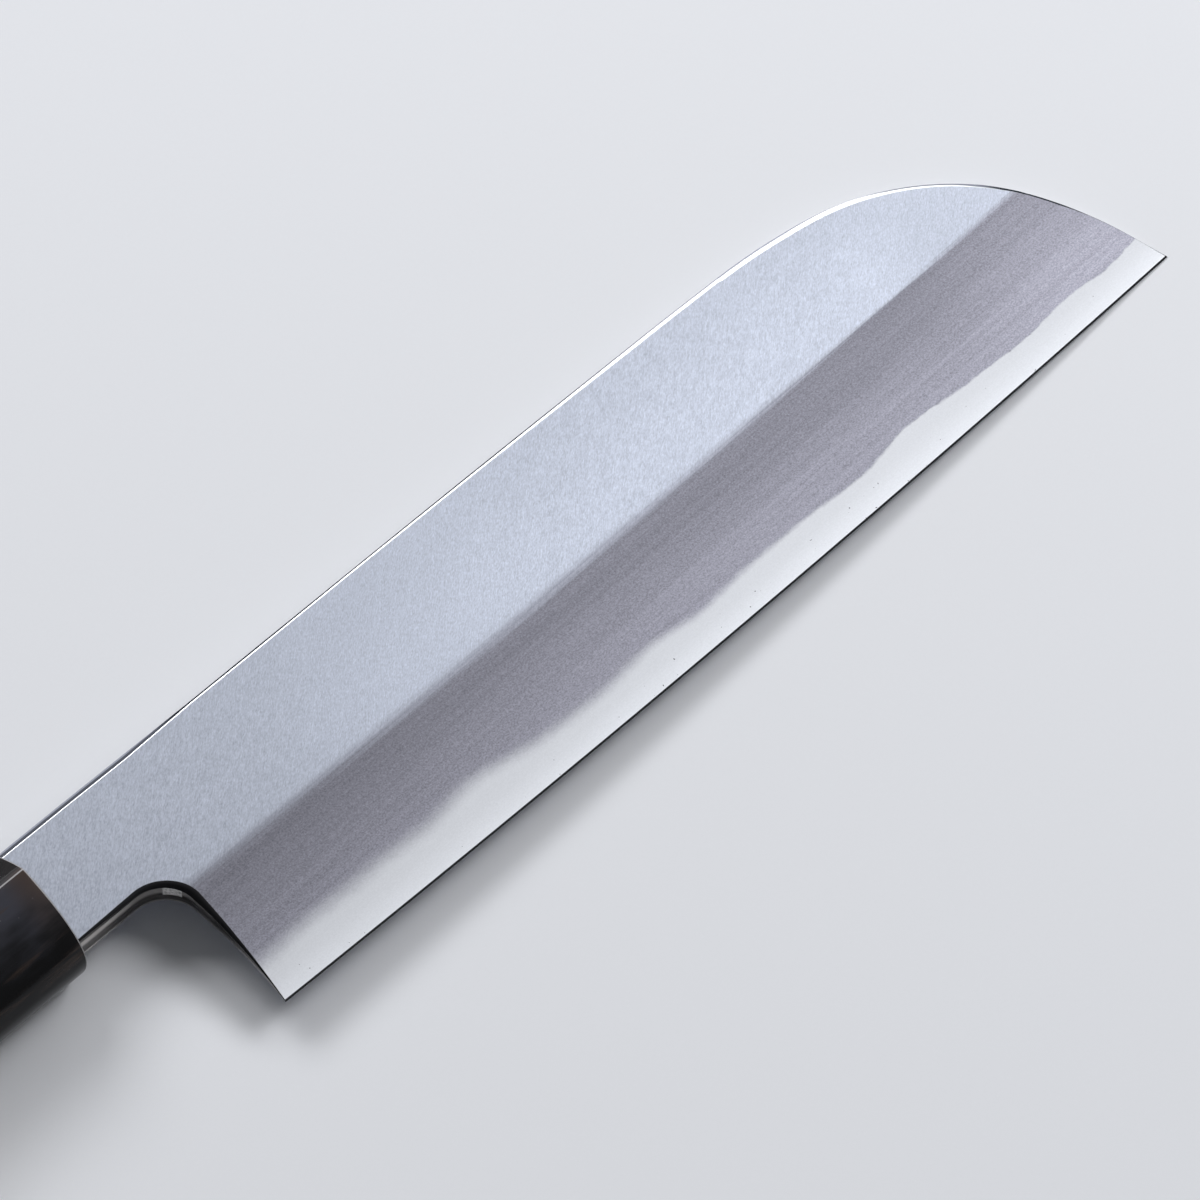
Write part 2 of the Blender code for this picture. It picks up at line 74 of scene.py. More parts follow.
# Fine lines along the rim of the ground side: a dark outer line, which is painted dark
# reflection, and a burnished strip inside it, which leans out. Widths at stations along the
# spine, then along the nose.
SPINE_STATIONS = (12.0, 26.0, 60.0, 90.0, 122.0)
SPINE_DARK = (1.02, 0.50, 0.37, 0.40, 0.35)
SPINE_STRIP = (0.11, 0.17, 0.21, 0.27, 0.54)
NOSE_STATIONS = (0.0, 0.12, 0.28, 0.35, 0.50, 0.56, 0.62, 0.68, 0.75, 0.82, 0.90)
NOSE_DARK = (0.42, 0.50, 0.34, 0.68, 0.80, 1.0, 0.88, 0.60, 0.52, 0.20, 0.15)
NOSE_STRIP = (0.68, 0.75, 0.93, 0.56, 0.30, 0.12, 0.04, 0.0, 0.0, 0.0, 0.0)
STRIP_LEAN, STRIP_WAY, STRIP_TURN = math.radians(15.8), (-0.4, 1.0), 0.65
LINE_SHARE, LINE_SOFT, EDGE_LINE = 0.9, 0.05, (0.34, 0.08)

# The dressed blade is a little fuller along the spine and the nose than the solids: by how
# much the outline goes out, and from where to where along it each change takes place
SWELLS = (
    (0.48, 15.0, 100.0), (-0.29, 124.0, 152.0), (0.43, 152.0, 168.0),
    (-0.36, 187.0, 196.0), (-0.26, 209.0, 219.5),
)

# Tang and handle, the same as those of the solids
TANG_LENGTH, TANG_SHOULDER, TANG_COVE = 100.0, 4.2, 3.0
TANG_ROOT, TANG_END, TANG_THIN, TANG_CORNER, TANG_CUT = 13.2, 5.6, 2.8, 0.4, 0.3
HANDLE_LENGTH, HANDLE_RAISE = 132.0, 0.45
FRONT_WIDTH, FRONT_BELLY, FRONT_CROWN = 25.5, 10.0, 11.4
BUTT_WIDTH, BUTT_BELLY, BUTT_CROWN = 26.8, 10.6, 11.8
CROWN_SLOPE, CROWN_LOW, CROWN_REACH = math.radians(18.0), 0.44, 0.45
FERRULE_LENGTH, FERRULE_WALL, FERRULE_ROUND = 28.0, 6.5, 0.4
TENON_WIDTH, TENON_THICKNESS, TENON_GAP = 17.2, 12.6, 0.5
BUTT_ROUND, CLEARANCE, RIDGE_ROUND, BORE_PAST, SLOT_PAST = 1.4, 0.3, 0.5, 4.0, 1.0
RIDGE_GUIDE, RIDGE_DRAW, RIDGE_PEAK, RIDGE_LEVEL = (0.45, 0.55), 0.6, 0.62, 0.35

# Fineness of the meshes
NOSE_STEPS, CHOIL_STEPS, FILLET_STEPS, COVE_STEPS, LINE_STEP = 150, 36, 26, 8, 1.0
WELD_STEP, ROUND_STEPS, SECTION_STEPS, RIDGE_STEPS, OVAL_STEPS = 0.4, 8, 40, 5, 64
FERRULE_RINGS, HANDLE_RINGS, HOLLOW_ROWS, HOLLOW_STEP, NECK_STEP = 12, 30, 14, 2.0, 1.5
NECK_ROWS = (0.08, 0.25, 0.5, 0.75, 0.92)
NUDGE, SLOPE_STEP, OVERSHOOT, SHARP_ANGLE = 0.03, 0.01, 10.0, math.radians(24.0)
RIM_NEAR, RIM_ALIKE, POINT_GRID, PAST_LIMIT, BATCH = 0.01, 0.8, 20000, 3.0, 2000
SAME_HEIGHT, SAME_PLACE, NO_AREA, LINES_PAST, ROUND_RINGS = 1e-4, 1e-5, 1e-9, 4.0, 7

# The photograph's view, worked out from the blade's outline: turn and height of the
# camera, its distance, the point it looks at and its lens for a 36 mm sensor
VIEW_TURN, VIEW_HEIGHT = math.radians(45.90), math.radians(54.0)
VIEW_DISTANCE, VIEW_TARGET = 1219.5, (84.789, 17.732)
LENS, SENSOR, CLIP = 239.67, 36.0, (0.05, 20.0)

# The table under the knife, which touches the nose and the butt: height at the heel, and
# how much it rises along x and y
TABLE_HEIGHT, TABLE_RISE_X, TABLE_RISE_Y = -4.95, 0.0251, 0.0166
TABLE_SIZE = 4000.0

# Lamps: reach to the right of the view, reach away from it, height, and brightness, where 1
# shows as white
LAMPS = {
    "far_left": ((-2600, -600), (1200, 3400), 1750, 7.2),
    "right": ((1400, 3200), (450, 2450), 2100, 8.7),
    "middle": ((0, 900), (900, 1350), 900, 3.6),
}

# The studio round about: its light on matt surfaces, its brightness where dim and bright as
# the metals see it, the way to its bright side, and how far from that it is dim
WORLD_COLOR, WORLD_FILL, WORLD_DIM, WORLD_BRIGHT = (0.97, 0.985, 1.0), 0.11, 0.06, 0.50
WORLD_BRIGHT_WAY, WORLD_DIM_AT = (0.5, 0.7, 0.5), -0.3

# Colours, linear
FLAT_COLOR, BEVEL_COLOR = (0.483, 0.517, 0.605), (0.242, 0.242, 0.286)
STEEL_COLOR, STRIP_COLOR = (0.607, 0.622, 0.66), (0.66, 0.67, 0.68)
# The rim's line: a painted dark reflection, whose colour also darkens the pits near the edge, and
# a paler painted reflection in it at the neck and the nose top
DARK_REFLECTION_AND_PIT_COLOR, PALE_LINE_REFLECTION = (0.022, 0.025, 0.036), (0.40, 0.42, 0.49)
SIDE_COLOR, BACK_COLOR = (0.42, 0.43, 0.46), (0.56, 0.575, 0.62)
# Painted shade: the cutting edge, and the rim's line near the heel
PAINTED_SHADE_COLOR = (0.03, 0.03, 0.033)
# Painted on the walls round the heel: dark as a reflection of the shade beneath, and a bright
# painted reflection; then the colour of the pale dull spot there
PAINTED_WALL_SHADE, PAINTED_WALL_REFLECTION, PALE_SPOT_COLOR = (0.05, 0.045, 0.042), (0.75, 0.72, 0.70), (0.85, 0.84, 0.83)
# The horn's own near-black, and the paler bluish tone of a painted sheen towards the top of its
# near flank
HORN_COLOR, HORN_SHEEN = (0.0012, 0.0012, 0.0018), (0.050, 0.051, 0.066)
# Horn browns, and a pale colour for the painted highlights on the ridge line and the front rim
# and for the horn's pale flecks
HORN_BROWN, HORN_HIGHLIGHT_AND_FLECK = (0.062, 0.040, 0.030), (0.50, 0.49, 0.50)
WOOD_PALE, WOOD_DARK = (0.60, 0.47, 0.29), (0.43, 0.33, 0.19)
TABLE_COLOR = (0.845, 0.862, 0.908)

# Noise textures: turn, size in mm along the turned x, y and z, then detail and roughness
FLAT_STROKE, BEVEL_STROKE, GRIND_STROKE, WOOD_STROKE = np.radians((38.0, 1.0, 84.0, 1.5)).tolist()
FLAT_TEXTURES = (
    (FLAT_STROKE, (1.4, 0.22, 1.0), 3.0, 0.75), (FLAT_STROKE, (0.5, 0.2, 1.0), 2.0),
    (FLAT_STROKE, (9.0, 0.9, 1.0), 3.0), (FLAT_STROKE, (30.0, 12.0, 5.0), 2.0),
)
BEVEL_TEXTURES = (
    (BEVEL_STROKE, (45.0, 0.6, 5.0), 4.0, 0.6), (BEVEL_STROKE, (90.0, 2.6, 5.0), 3.0),
    (0.0, (0.32, 0.26, 0.3), 2.0, 0.75),
)
STEEL_HAIR = (BEVEL_STROKE, (14.0, 0.12, 5.0), 3.0)
WELD_RAGS, SPECKS = (0.0, (2.6, 1.4, 2.0), 4.0), (0.0, (0.45, 0.45, 0.45), 0.0)
SIDE_TEXTURES = (
    (0.0, (24.0, 6.0, 0.5), 3.0, 0.6), (0.0, (3.0, 3.0, 1.2), 3.0), (0.0, (0.5, 0.5, 0.5), 2.0),
)
BACK_TEXTURES = ((GRIND_STROKE, (30.0, 0.3, 5.0), 4.0, 0.6), (0.0, (26.0, 9.0, 5.0), 2.0))
HORN_TEXTURES = (
    (0.0, (24.0, 2.2, 2.2), 4.0, 0.6), (0.0, (14.0, 7.0, 7.0), 3.0),
    (0.0, (0.6, 0.4, 0.4), 0.0), (0.0, (1.2, 0.25, 0.25), 3.0),
)
WOOD_TEXTURES = (
    (WOOD_STROKE, (190.0, 2.4, 5.0), 4.0, 0.6), (WOOD_STROKE, (80.0, 0.5, 0.8), 3.0),
    (WOOD_STROKE, (3.0, 0.10, 0.12), 2.0),
)
TABLE_TEXTURE = (0.0, (0.5, 0.5, 0.5), 2.0)
TEXTURE_SPAN = (-0.3, 0.3)

# How much each texture lightens a colour or lifts the surface
FLAT_SHARES, BEVEL_SHARES = (0.65, 0.65, 0.12, 0.08), (0.42, 0.26, 1.35)
STEEL_SHARES = (0.06, 0.22, 0.04)
WELD_SHARES, FRINGE_SHARES, FRINGE_RISE = (0.9, 0.5), (2.0, 0.5), 0.3
WALL_LIGHT, WALL_SHARES, SIDE_SHARES, PALE_SPOT_SHARE = 0.14, (0.45, 0.80, 0.60), (0.6, 0.4), 1.4
BACK_SHARES, WOOD_SHARES, TABLE_SHARE, FLECK_SHARE = (0.28, 0.15), (0.22, 0.18), 0.02, 0.5
HORN_SHARES, HORN_RIM_SHARE, HORN_HIGHLIGHT_SHARE, HORN_SHEEN_FAR = (12.0, 4.0), 0.8, 0.8, 0.12
STREAK_HEIGHT, FINE_HEIGHT, HORN_STREAK_HEIGHT, WOOD_HEIGHTS = 0.4, 0.6, 0.6, (0.7, 0.3)
METAL_BUMP, WOOD_BUMP = 0.004, 0.03

# Tones that change from one place to another: from and to, then the factor at each
HEEL_TO_TIP, BEVEL_ACROSS = (20.0, 150.0), (-18.0, -1.5, 1.20, 0.88)
# Painted light and shade along the blade: the flat darker at the heel and towards the nose, the
# bevel darker at the heel and lighter towards the tip, the steel darker towards the tip
FLAT_SHADE_AT_HEEL, FLAT_SHADE_AT_NOSE = (-15.0, 75.0, 0.75, 1.06), (100.0, 175.0, 1.0, 0.88)
BEVEL_SHADE_AT_HEEL, BEVEL_LIGHT_AT_TIP = (10.0, 100.0, 0.85, 1.03), (155.0, 184.0, 1.0, 1.13)
STEEL_ACROSS, STEEL_SHADE_AT_TIP = (0.0, 5.0, 1.10, 0.95), (110.0, 190.0, 1.0, 0.92)
WELD_HAZE, FRINGE_BLUR, SPECK_STEP = (2.2, 0.22), (90.0, 165.0, 1.7, 0.45), (0.335, 0.35)
NOSE_PALE_FROM, NOSE_PALE_FADE = (85.0, 150.0), (166.0, 176.0, 1.0, 0.7)
NECK_ABOVE, NECK_PALE, LIFT, LIFT_FROM = (40.0, 44.0), (0.24, 0.85), 0.13, (0.0, 60.0)
BAND_FROM, BAND_FADE, HORN_SHEEN_FROM = (2.0, 2.7), (-14.0, 3.0, 1.0, 0.45), (6.5, 13.5)
HORN_RIM_FROM, HORN_BROWN_STREAK = (-NECK_LENGTH - 6.0, -NECK_LENGTH - 0.5), (0.06, 0.30)
FLECK_STEP, WOOD_BANDS = (0.37, 0.385), (-0.25, 0.3)

# Limits of marks and of painted light and shade: up to where, and over how wide a step they end
LIFT_UNTIL, LIFT_ABOVE, SPECK_REACH = (163.0, 14.0), (13.0, 18.0), (3.5, 1.0)
HEEL_BELOW, HEEL_BEHIND, NOSE_PALE_UNTIL = (30.5, 3.0), (8.0, 4.0), (184.0, 3.0)
NECK_BEHIND, NECK_PALE_OUT = (21.0, 6.0), (-0.52, 0.16)
WALL_BELOW, WALL_BEHIND, WALL_FOOT, BAND_UNTIL = (34.0, 2.0), (20.0, 4.0), (0.65, 0.3), (3.5, 0.4)
PALE_SPOT, PALE_SPOT_TALL, PALE_SPOT_DEEP = (24.6, 2.9), (1.2, 0.15), (1.1, 0.15)
HORN_RIDGE, HORN_RIM, HORN_BEHIND = (0.12, 0.08), (0.09, 0.06), (1.0, 0.3)

# Gloss
BEVEL_ROUGH, FLAT_ROUGH, ROUGH_MARKS, STRIP_ROUGH, LINE_ROUGH = 0.46, 0.33, 0.10, 0.42, 0.75
WALL_ROUGH, BAND_ROUGH, PALE_SPOT_ROUGH, PALE_SPOT_METAL = (0.20, 0.34), 0.7, 0.9, 0.3
BACK_ROUGH, WOOD_ROUGH, TABLE_ROUGH = (0.28, 0.40), (0.50, 0.66), 0.62
HORN_ROUGH, HORN_LINE_ROUGH, HORN_IOR = (0.10, 0.19), 0.65, 1.33


# Numbers and curves

def mix(a, b, t):
    return a + (b - a) * t


def ease(t):
    t = np.clip(t, 0.0, 1.0)
    return t * t * (3.0 - 2.0 * t)


def rise(value, start, end):
    return ease((value - start) / (end - start))


def unit(v):
    return v / np.linalg.norm(v, axis=-1, keepdims=True)


def along_edge(x):
    return np.clip(x / EDGE_LENGTH, 0.0, 1.0)


def bezier(a, b, c, d, t):
    u = 1.0 - t
    return a * u**3 + b * (3 * u * u * t) + c * (3 * u * t * t) + d * t**3


def edge_y(x):
    t = along_edge(x)
    return -4.0 * EDGE_BOW * t * (1.0 - t)


def thickness(x):
    along = np.clip((x + NECK_LENGTH) / (EDGE_LENGTH + NECK_LENGTH), 0, 1)
    behind = np.clip((-x - NECK_LENGTH) / TANG_LENGTH, 0, 1)
    blade = mix(THICKNESS_NECK, THICKNESS_TIP, along)
    return np.where(x > -NECK_LENGTH, blade, mix(THICKNESS_NECK, TANG_THIN, behind))


def ridge_y(x):
    t = along_edge(x)
    return mix(BEVEL_HEEL, BEVEL_TIP, t) - 4.0 * RIDGE_SAG * t * (1.0 - t)


def bevel_foot():
    return EDGE_LAND + MICRO_BEVEL * math.tan(MICRO_ANGLE)


def bevel_slope(x):
    return (thickness(x) - bevel_foot()) / (ridge_y(x) - edge_y(x) - MICRO_BEVEL)


def bevel_z(x, y):
    return bevel_foot() + (y - edge_y(x) - MICRO_BEVEL) * bevel_slope(x)


def face_z(x, y):
    """The height of the ground side, with the ridge softened, before the rim is rounded."""
    slope, ridge = bevel_slope(x), ridge_y(x)
    soft = mix(RIDGE_SOFT_HEEL, RIDGE_SOFT_TIP, along_edge(x))
    below = np.clip(ridge + soft - y, 0.0, 2 * soft)
    z = thickness(x) - slope * below**2 / (4 * soft)
    z = np.where(y < ridge - soft, bevel_z(x, y), z)
    micro = EDGE_LAND + (y - edge_y(x)) * math.tan(MICRO_ANGLE)
    return np.minimum(z, micro)


def weld_y(x):
    t = along_edge(x)
    height = mix(WELD_HEEL, WELD_TIP, ease(t * WELD_FADE)) + 4.0 * WELD_CROWN * t * (1.0 - t)
    wave = sum(a * np.sin(2 * math.pi * x / length + phase) for a, length, phase in WELD_WAVES)
    return edge_y(x) + height + wave


def weld_z(x):
    scarf = ease((x + STEEL_REACH) / STEEL_SCARF)
    return mix(STEEL_FEATHER, bevel_z(x, weld_y(x)), scarf)


# Blade outline, from below the heel round the tang and the spine to below the tip

def nose_curve():
    start = np.array((EDGE_LENGTH - NOSE_LENGTH, NOSE_HEIGHT))
    fall = unit(np.array((start[0], NOSE_HEIGHT - HEEL_HEIGHT)))
    tip = np.array((EDGE_LENGTH, 0.0))
    toe = tip + np.array((-math.sin(NOSE_LEAN), math.cos(NOSE_LEAN))) * NOSE_TOE
    a, b, c, d = start, start + fall * NOSE_SHOULDER, toe, tip
    return [bezier(a, b, c, d, i / NOSE_STEPS) for i in range(NOSE_STEPS + 1)]


def choil_curve():
    top = np.array((CHOIL_LEAN, NECK_LOW - NECK_FILLET))
    across = unit(np.array((top[1], -top[0])))
    points = []
    for i in range(CHOIL_STEPS):
        t = i / CHOIL_STEPS
        points.append(top * t + across * (4 * CHOIL_BOW * t * (1 - t)))
    for i in range(FILLET_STEPS + 1):
        angle = i / FILLET_STEPS * math.pi / 2
        turn = np.array((math.cos(angle) - 1.0, math.sin(angle)))
        points.append(top + turn * NECK_FILLET)
    return points


def straight(a, b, step=LINE_STEP):
    """Points from a up to but without b."""
    a, b = np.array(a, float), np.array(b, float)
    count = max(1, int(round(np.linalg.norm(b - a) / step)))
    return [mix(a, b, i / count) for i in range(count)]


def swelled(points):
    """The points of the spine and the nose, moved out by the swells."""
    steps = np.diff(points, axis=0)
    along = points[0][0] + np.concatenate([[0.0], np.cumsum(np.linalg.norm(steps, axis=1))])
    lift = sum(amount * rise(along, *reach) for amount, *reach in SWELLS)
    way = np.gradient(points, axis=0)
    out = unit(np.stack([-way[:, 1], way[:, 0]], 1))
    return points + out * lift[:, None]


def tang_side():
    shoulder = -NECK_LENGTH - TANG_SHOULDER
    root = NECK_AXIS - TANG_ROOT / 2
    step = root - NECK_LOW
    points = [np.array((shoulder, root - step))]
    for i in range(1, COVE_STEPS + 1):
        angle = i / COVE_STEPS * math.pi / 2
        back, down = TANG_COVE * (1 - math.cos(angle)), step * (1 - math.sin(angle))
        points.append(np.array((shoulder - back, root - down)))
    end = np.array((-NECK_LENGTH - TANG_LENGTH, NECK_AXIS - TANG_END / 2))
    corner = TANG_END * TANG_CORNER
    points += [end + (corner, 0), end + (corner * TANG_CUT, corner * TANG_CUT), end + (0, corner)]
    return points


def outline():
    """The points of the outline, and at each the rounding of the upper rim, and the
    widths of the dark line and the burnished strip along it."""
    choil, nose = choil_curve(), nose_curve()
    way = unit(choil[0] - choil[1])
    points, widths = [choil[0] - way * (OVERSHOOT / way[1])], [(HEEL_ROUND, HEEL_ROUND, 0.0)]
    for i, point in enumerate(choil):
        width = mix(HEEL_ROUND, CHOIL_ROUND, min(i / CHOIL_STEPS, 1.0) ** CHOIL_WIDEN)
        width = mix(width, NECK_ROUND, min(max((i - CHOIL_STEPS) / FILLET_STEPS, 0.0), 1.0))
        points.append(point)
        widths.append((width, width * LINE_SHARE, 0.0))
    tang = tang_side()
    neck = straight(choil[-1], tang[0])[1:]
    points += neck
    for i in range(len(neck)):
        width = mix(NECK_ROUND, TANG_ROUND, (i + 1) / (len(neck) + 1))
        widths.append((width, width * LINE_SHARE, 0.0))
    far = [np.array((p[0], 2 * NECK_AXIS - p[1])) for p in reversed(tang)]
    points += tang + far
    widths += [(TANG_ROUND, TANG_ROUND, 0.0)] * (2 * len(tang))
    for point in straight(far[-1], (0.0, HEEL_HEIGHT))[1:]:
        points.append(point)
        widths.append((SPINE_ROUND_NECK, SPINE_DARK[0], SPINE_STRIP[0]))
    spine = straight((0.0, HEEL_HEIGHT), nose[0])
    swell = swelled(np.array(spine + nose))
    spine, nose = swell[:len(spine)], swell[len(spine):]
    for point in spine:
        fade = float(rise(point[0], *SPINE_FADE))
        lines = [np.interp(point[0], SPINE_STATIONS, row) for row in (SPINE_DARK, SPINE_STRIP)]
        points.append(point)
        widths.append((mix(SPINE_ROUND_NECK, SPINE_ROUND, fade), *lines))
    for i, point in enumerate(nose):
        t = i / NOSE_STEPS
        width = mix(SPINE_ROUND, NOSE_ROUND, float(ease(t / NOSE_WIDEN)))
        width = mix(width, TIP_ROUND, float(ease((t - NOSE_NARROW) / NARROW_SPAN)))
        lines = [np.interp(t, NOSE_STATIONS, row) for row in (NOSE_DARK, NOSE_STRIP)]
        points.append(point)
        widths.append((width, *lines))
    way = unit(nose[-1] - nose[-2])
    points.append(nose[-1] - way * (OVERSHOOT / way[1]))
    widths.append((TIP_ROUND, NOSE_DARK[-1], 0.0))
    return np.array(points), np.array(widths)


class Rim:
    """The outline, and what lies nearest on it to any point: how far, which way is out,
    the rounding there, and the widths of its dark line and its strip."""

    def __init__(self):
        self.points, self.sizes = outline()
        self.widths = self.sizes[:, 0]
        along = unit(self.points[1:] - self.points[:-1])
        sides = np.stack([-along[:, 1], along[:, 0]], 1)
        self.out = unit(np.concatenate([sides[:1], sides[:-1] + sides[1:], sides[-1:]]))
        turn = np.concatenate([sides[:1], sides[1:], sides[-1:]])
        self.miter = self.out / np.maximum(0.5, (self.out * turn).sum(1))[:, None]

    def offset(self, inset):
        return self.points - self.miter * inset[:, None]

    def nearest(self, where):
        a, b = self.points[:-1], self.points[1:]
        side = b - a
        length = (side**2).sum(1)
        found = []
        for start in range(0, len(where), BATCH):
            p = where[start:start + BATCH]
            t = ((p[:, None, :] - a[None]) * side[None]).sum(2) / length[None]
            t = np.clip(t, 0.0, 1.0)
            gap = p[:, None, :] - (a[None] + side[None] * t[:, :, None])
            far = np.sqrt((gap**2).sum(2))
            best = far.argmin(1)
            row = np.arange(len(p))
            share = t[row, best]
            out = unit(mix(self.out[best], self.out[best + 1], share[:, None]))
            sizes = mix(self.sizes[best], self.sizes[best + 1], share[:, None])
            found.append((far[row, best], out, *sizes.T))
        return [np.concatenate(part) for part in zip(*found)]


# Blade surfaces: height and upward normal at each place

FACE, SIDE, BACK = 0, 1, 2


def slopes(height, where):
    step, x, y = SLOPE_STEP, where[:, 0], where[:, 1]
    dx = (height(x + step, y) - height(x - step, y)) / (2 * step)
    dy = (height(x, y + step) - height(x, y - step)) / (2 * step)
    return unit(np.stack([-dx, -dy, np.ones_like(dx)], 1))


def rounded(where, near, height, drop_share, width_limit=math.inf):
    """Height and normal of a face whose rim is rounded like a quarter of an ellipse."""
    gap, out, width = near[:3]
    width = np.minimum(width, width_limit)
    level = height(where[:, 0], where[:, 1])
    drop = np.minimum(width, np.abs(face_z(where[:, 0], where[:, 1])) * drop_share)
    share = np.clip(1.0 - gap / width, 0.0, 1.0)
    down = 1.0 - np.sqrt(1.0 - share**2)
    normal = slopes(height, where) * np.sqrt(1.0 - share**2)[:, None]
    normal[:, :2] += out * share[:, None]
    return level - drop * down, unit(normal)


def top_surface(rim, where):
    near = rim.nearest(where)
    height, normal = rounded(where, near, face_z, FACE_DROP)
    gap, out, _, dark, strip = near
    normal = np.where((gap > dark + strip)[:, None], slopes(face_z, where), normal)
    way = mix(out, unit(np.array(STRIP_WAY)), STRIP_TURN)
    up = np.full(len(way), math.cos(STRIP_LEAN))
    lean = unit(np.column_stack([way * math.sin(STRIP_LEAN), up]))
    in_strip = (gap > dark) & (gap < dark + strip)
    return height, np.where(in_strip[:, None], lean, normal)


def hollow_z(x, y):
    """The ground hollow of the back, with its flat rim all round."""
    nose = np.array(nose_curve())
    front = EDGE_LENGTH - RIM_TIP - NOSE_TOE * math.sin(NOSE_LEAN)
    back = CHOIL_LEAN + RIM_HEEL
    low = edge_y(x) + RIM_EDGE
    spine = np.interp(np.clip(x + RIM_TIP, nose[0, 0], EDGE_LENGTH), nose[:, 0], nose[:, 1])
    high = np.maximum(low, np.minimum(spine, HEEL_HEIGHT) - RIM_SPINE)
    inside = np.clip(np.minimum(x - back, front - x) / HOLLOW_END, 0.0, 1.0)
    share = np.sqrt(1.0 - (1.0 - inside) ** 2)
    width = (high - low) * share
    depth = width * width / (8.0 * HOLLOW_RADIUS)
    room = np.maximum(width, RIM_EDGE)
    middle = np.maximum((low + high) / 2, low + room / 2)
    t = np.clip((y - middle + room / 2) / room, 0.0, 1.0)
    return 4.0 * depth * t * (1.0 - t)


def back_surface(rim, where):
    """The back as seen from below: its height, and its normal pointing down."""
    near = rim.nearest(where)
    height, normal = rounded(where, near, lambda x, y: -hollow_z(x, y), BACK_DROP, BACK_ROUND)
    return -height, normal * (1.0, 1.0, -1.0)


# Blade meshes

def clip_lines():
    """Lines across the blade that its triangles must follow, each a row of points."""
    xs = np.arange(-LINES_PAST, EDGE_LENGTH + LINES_PAST, LINE_STEP)
    fine = np.arange(-LINES_PAST, EDGE_LENGTH + LINES_PAST, WELD_STEP)
    soft = mix(RIDGE_SOFT_HEEL, RIDGE_SOFT_TIP, along_edge(xs))
    lines = [np.stack([xs, edge_y(xs)], 1), np.stack([xs, edge_y(xs) + MICRO_BEVEL], 1)]
    lines.append(np.stack([fine, weld_y(fine)], 1))
    for share in (-1.0, -0.5, 0.0, 0.5, 1.0):
        lines.append(np.stack([xs, ridge_y(xs) + soft * share], 1))
    for x in (-STEEL_REACH, -STEEL_REACH - WELD_SEAM):
        lines.append(np.array([(x, 20.0), (x, 60.0)]))
    return lines


def inner_rows():
    """Rows of points for the hollow of the back, and a few along the neck."""
    xs = np.arange(4.0, EDGE_LENGTH - 3.0, HOLLOW_STEP)
    rows = []
    for i in range(HOLLOW_ROWS + 1):
        height = mix(RIM_EDGE, HEEL_HEIGHT - RIM_SPINE, i / HOLLOW_ROWS)
        rows.append(np.stack([xs, edge_y(xs) + height], 1))
    xs = np.arange(-NECK_LENGTH - TANG_SHOULDER + 1.0, 3.5, NECK_STEP)
    for share in NECK_ROWS:
        y = mix(NECK_LOW, HEEL_HEIGHT, share)
        rows.append(np.stack([xs, np.full_like(xs, y)], 1))
    return rows


def blade_plan(rim):
    """One flat triangulation of the whole blade: its places, triangles and their centres."""
    lines = clip_lines() + inner_rows()
    for i in range(ROUND_STEPS + 1):
        angle = i / ROUND_STEPS * math.pi / 2
        lines.append(rim.offset(rim.widths * (1.0 - math.sin(angle))))
    lines.append(rim.offset(np.minimum(rim.widths, BACK_ROUND)))
    lines += [rim.offset(rim.sizes[:, 1]), rim.offset(rim.sizes[:, 1] + rim.sizes[:, 2])]
    points, edges = [], []
    for line in lines:
        first = len(points)
        points += [Vector((float(x), float(y))) for x, y in line]
        edges += [(i, i + 1) for i in range(first, len(points) - 1)]
    result = delaunay_2d_cdt(points, edges, [], 0, SAME_PLACE)
    places = np.array([tuple(p) for p in result[0]])
    faces = np.array([f[:3] for f in result[2]])
    centres = places[faces].mean(1)
    inside = in_outline(rim, centres) & (centres[:, 1] > edge_y(centres[:, 0]))
    faces = faces[inside]
    a, b, c = places[faces[:, 0]], places[faces[:, 1]], places[faces[:, 2]]
    area = (b - a)[:, 0] * (c - a)[:, 1] - (b - a)[:, 1] * (c - a)[:, 0]
    faces[area < 0] = faces[area < 0][:, ::-1]
    faces = faces[np.abs(area) > NO_AREA]
    return places, faces, places[faces].mean(1)


def in_outline(rim, where):
    loop = rim.points
    inside = np.zeros(len(where), bool)
    x, y = where[:, 0], where[:, 1]
    for a, b in zip(loop, np.roll(loop, -1, 0)):
        if a[1] == b[1]:
            continue
        crosses = (a[1] > y) != (b[1] > y)
        inside ^= crosses & (x < a[0] + (y - a[1]) * (b[0] - a[0]) / (b[1] - a[1]))
    return inside


def nudged(flat, faces, rows):
    """The corners of the triangles, drawn slightly in, so each reads its own side."""
    corners = flat[faces[rows]]
    return mix(corners, corners.mean(1)[:, None], NUDGE)


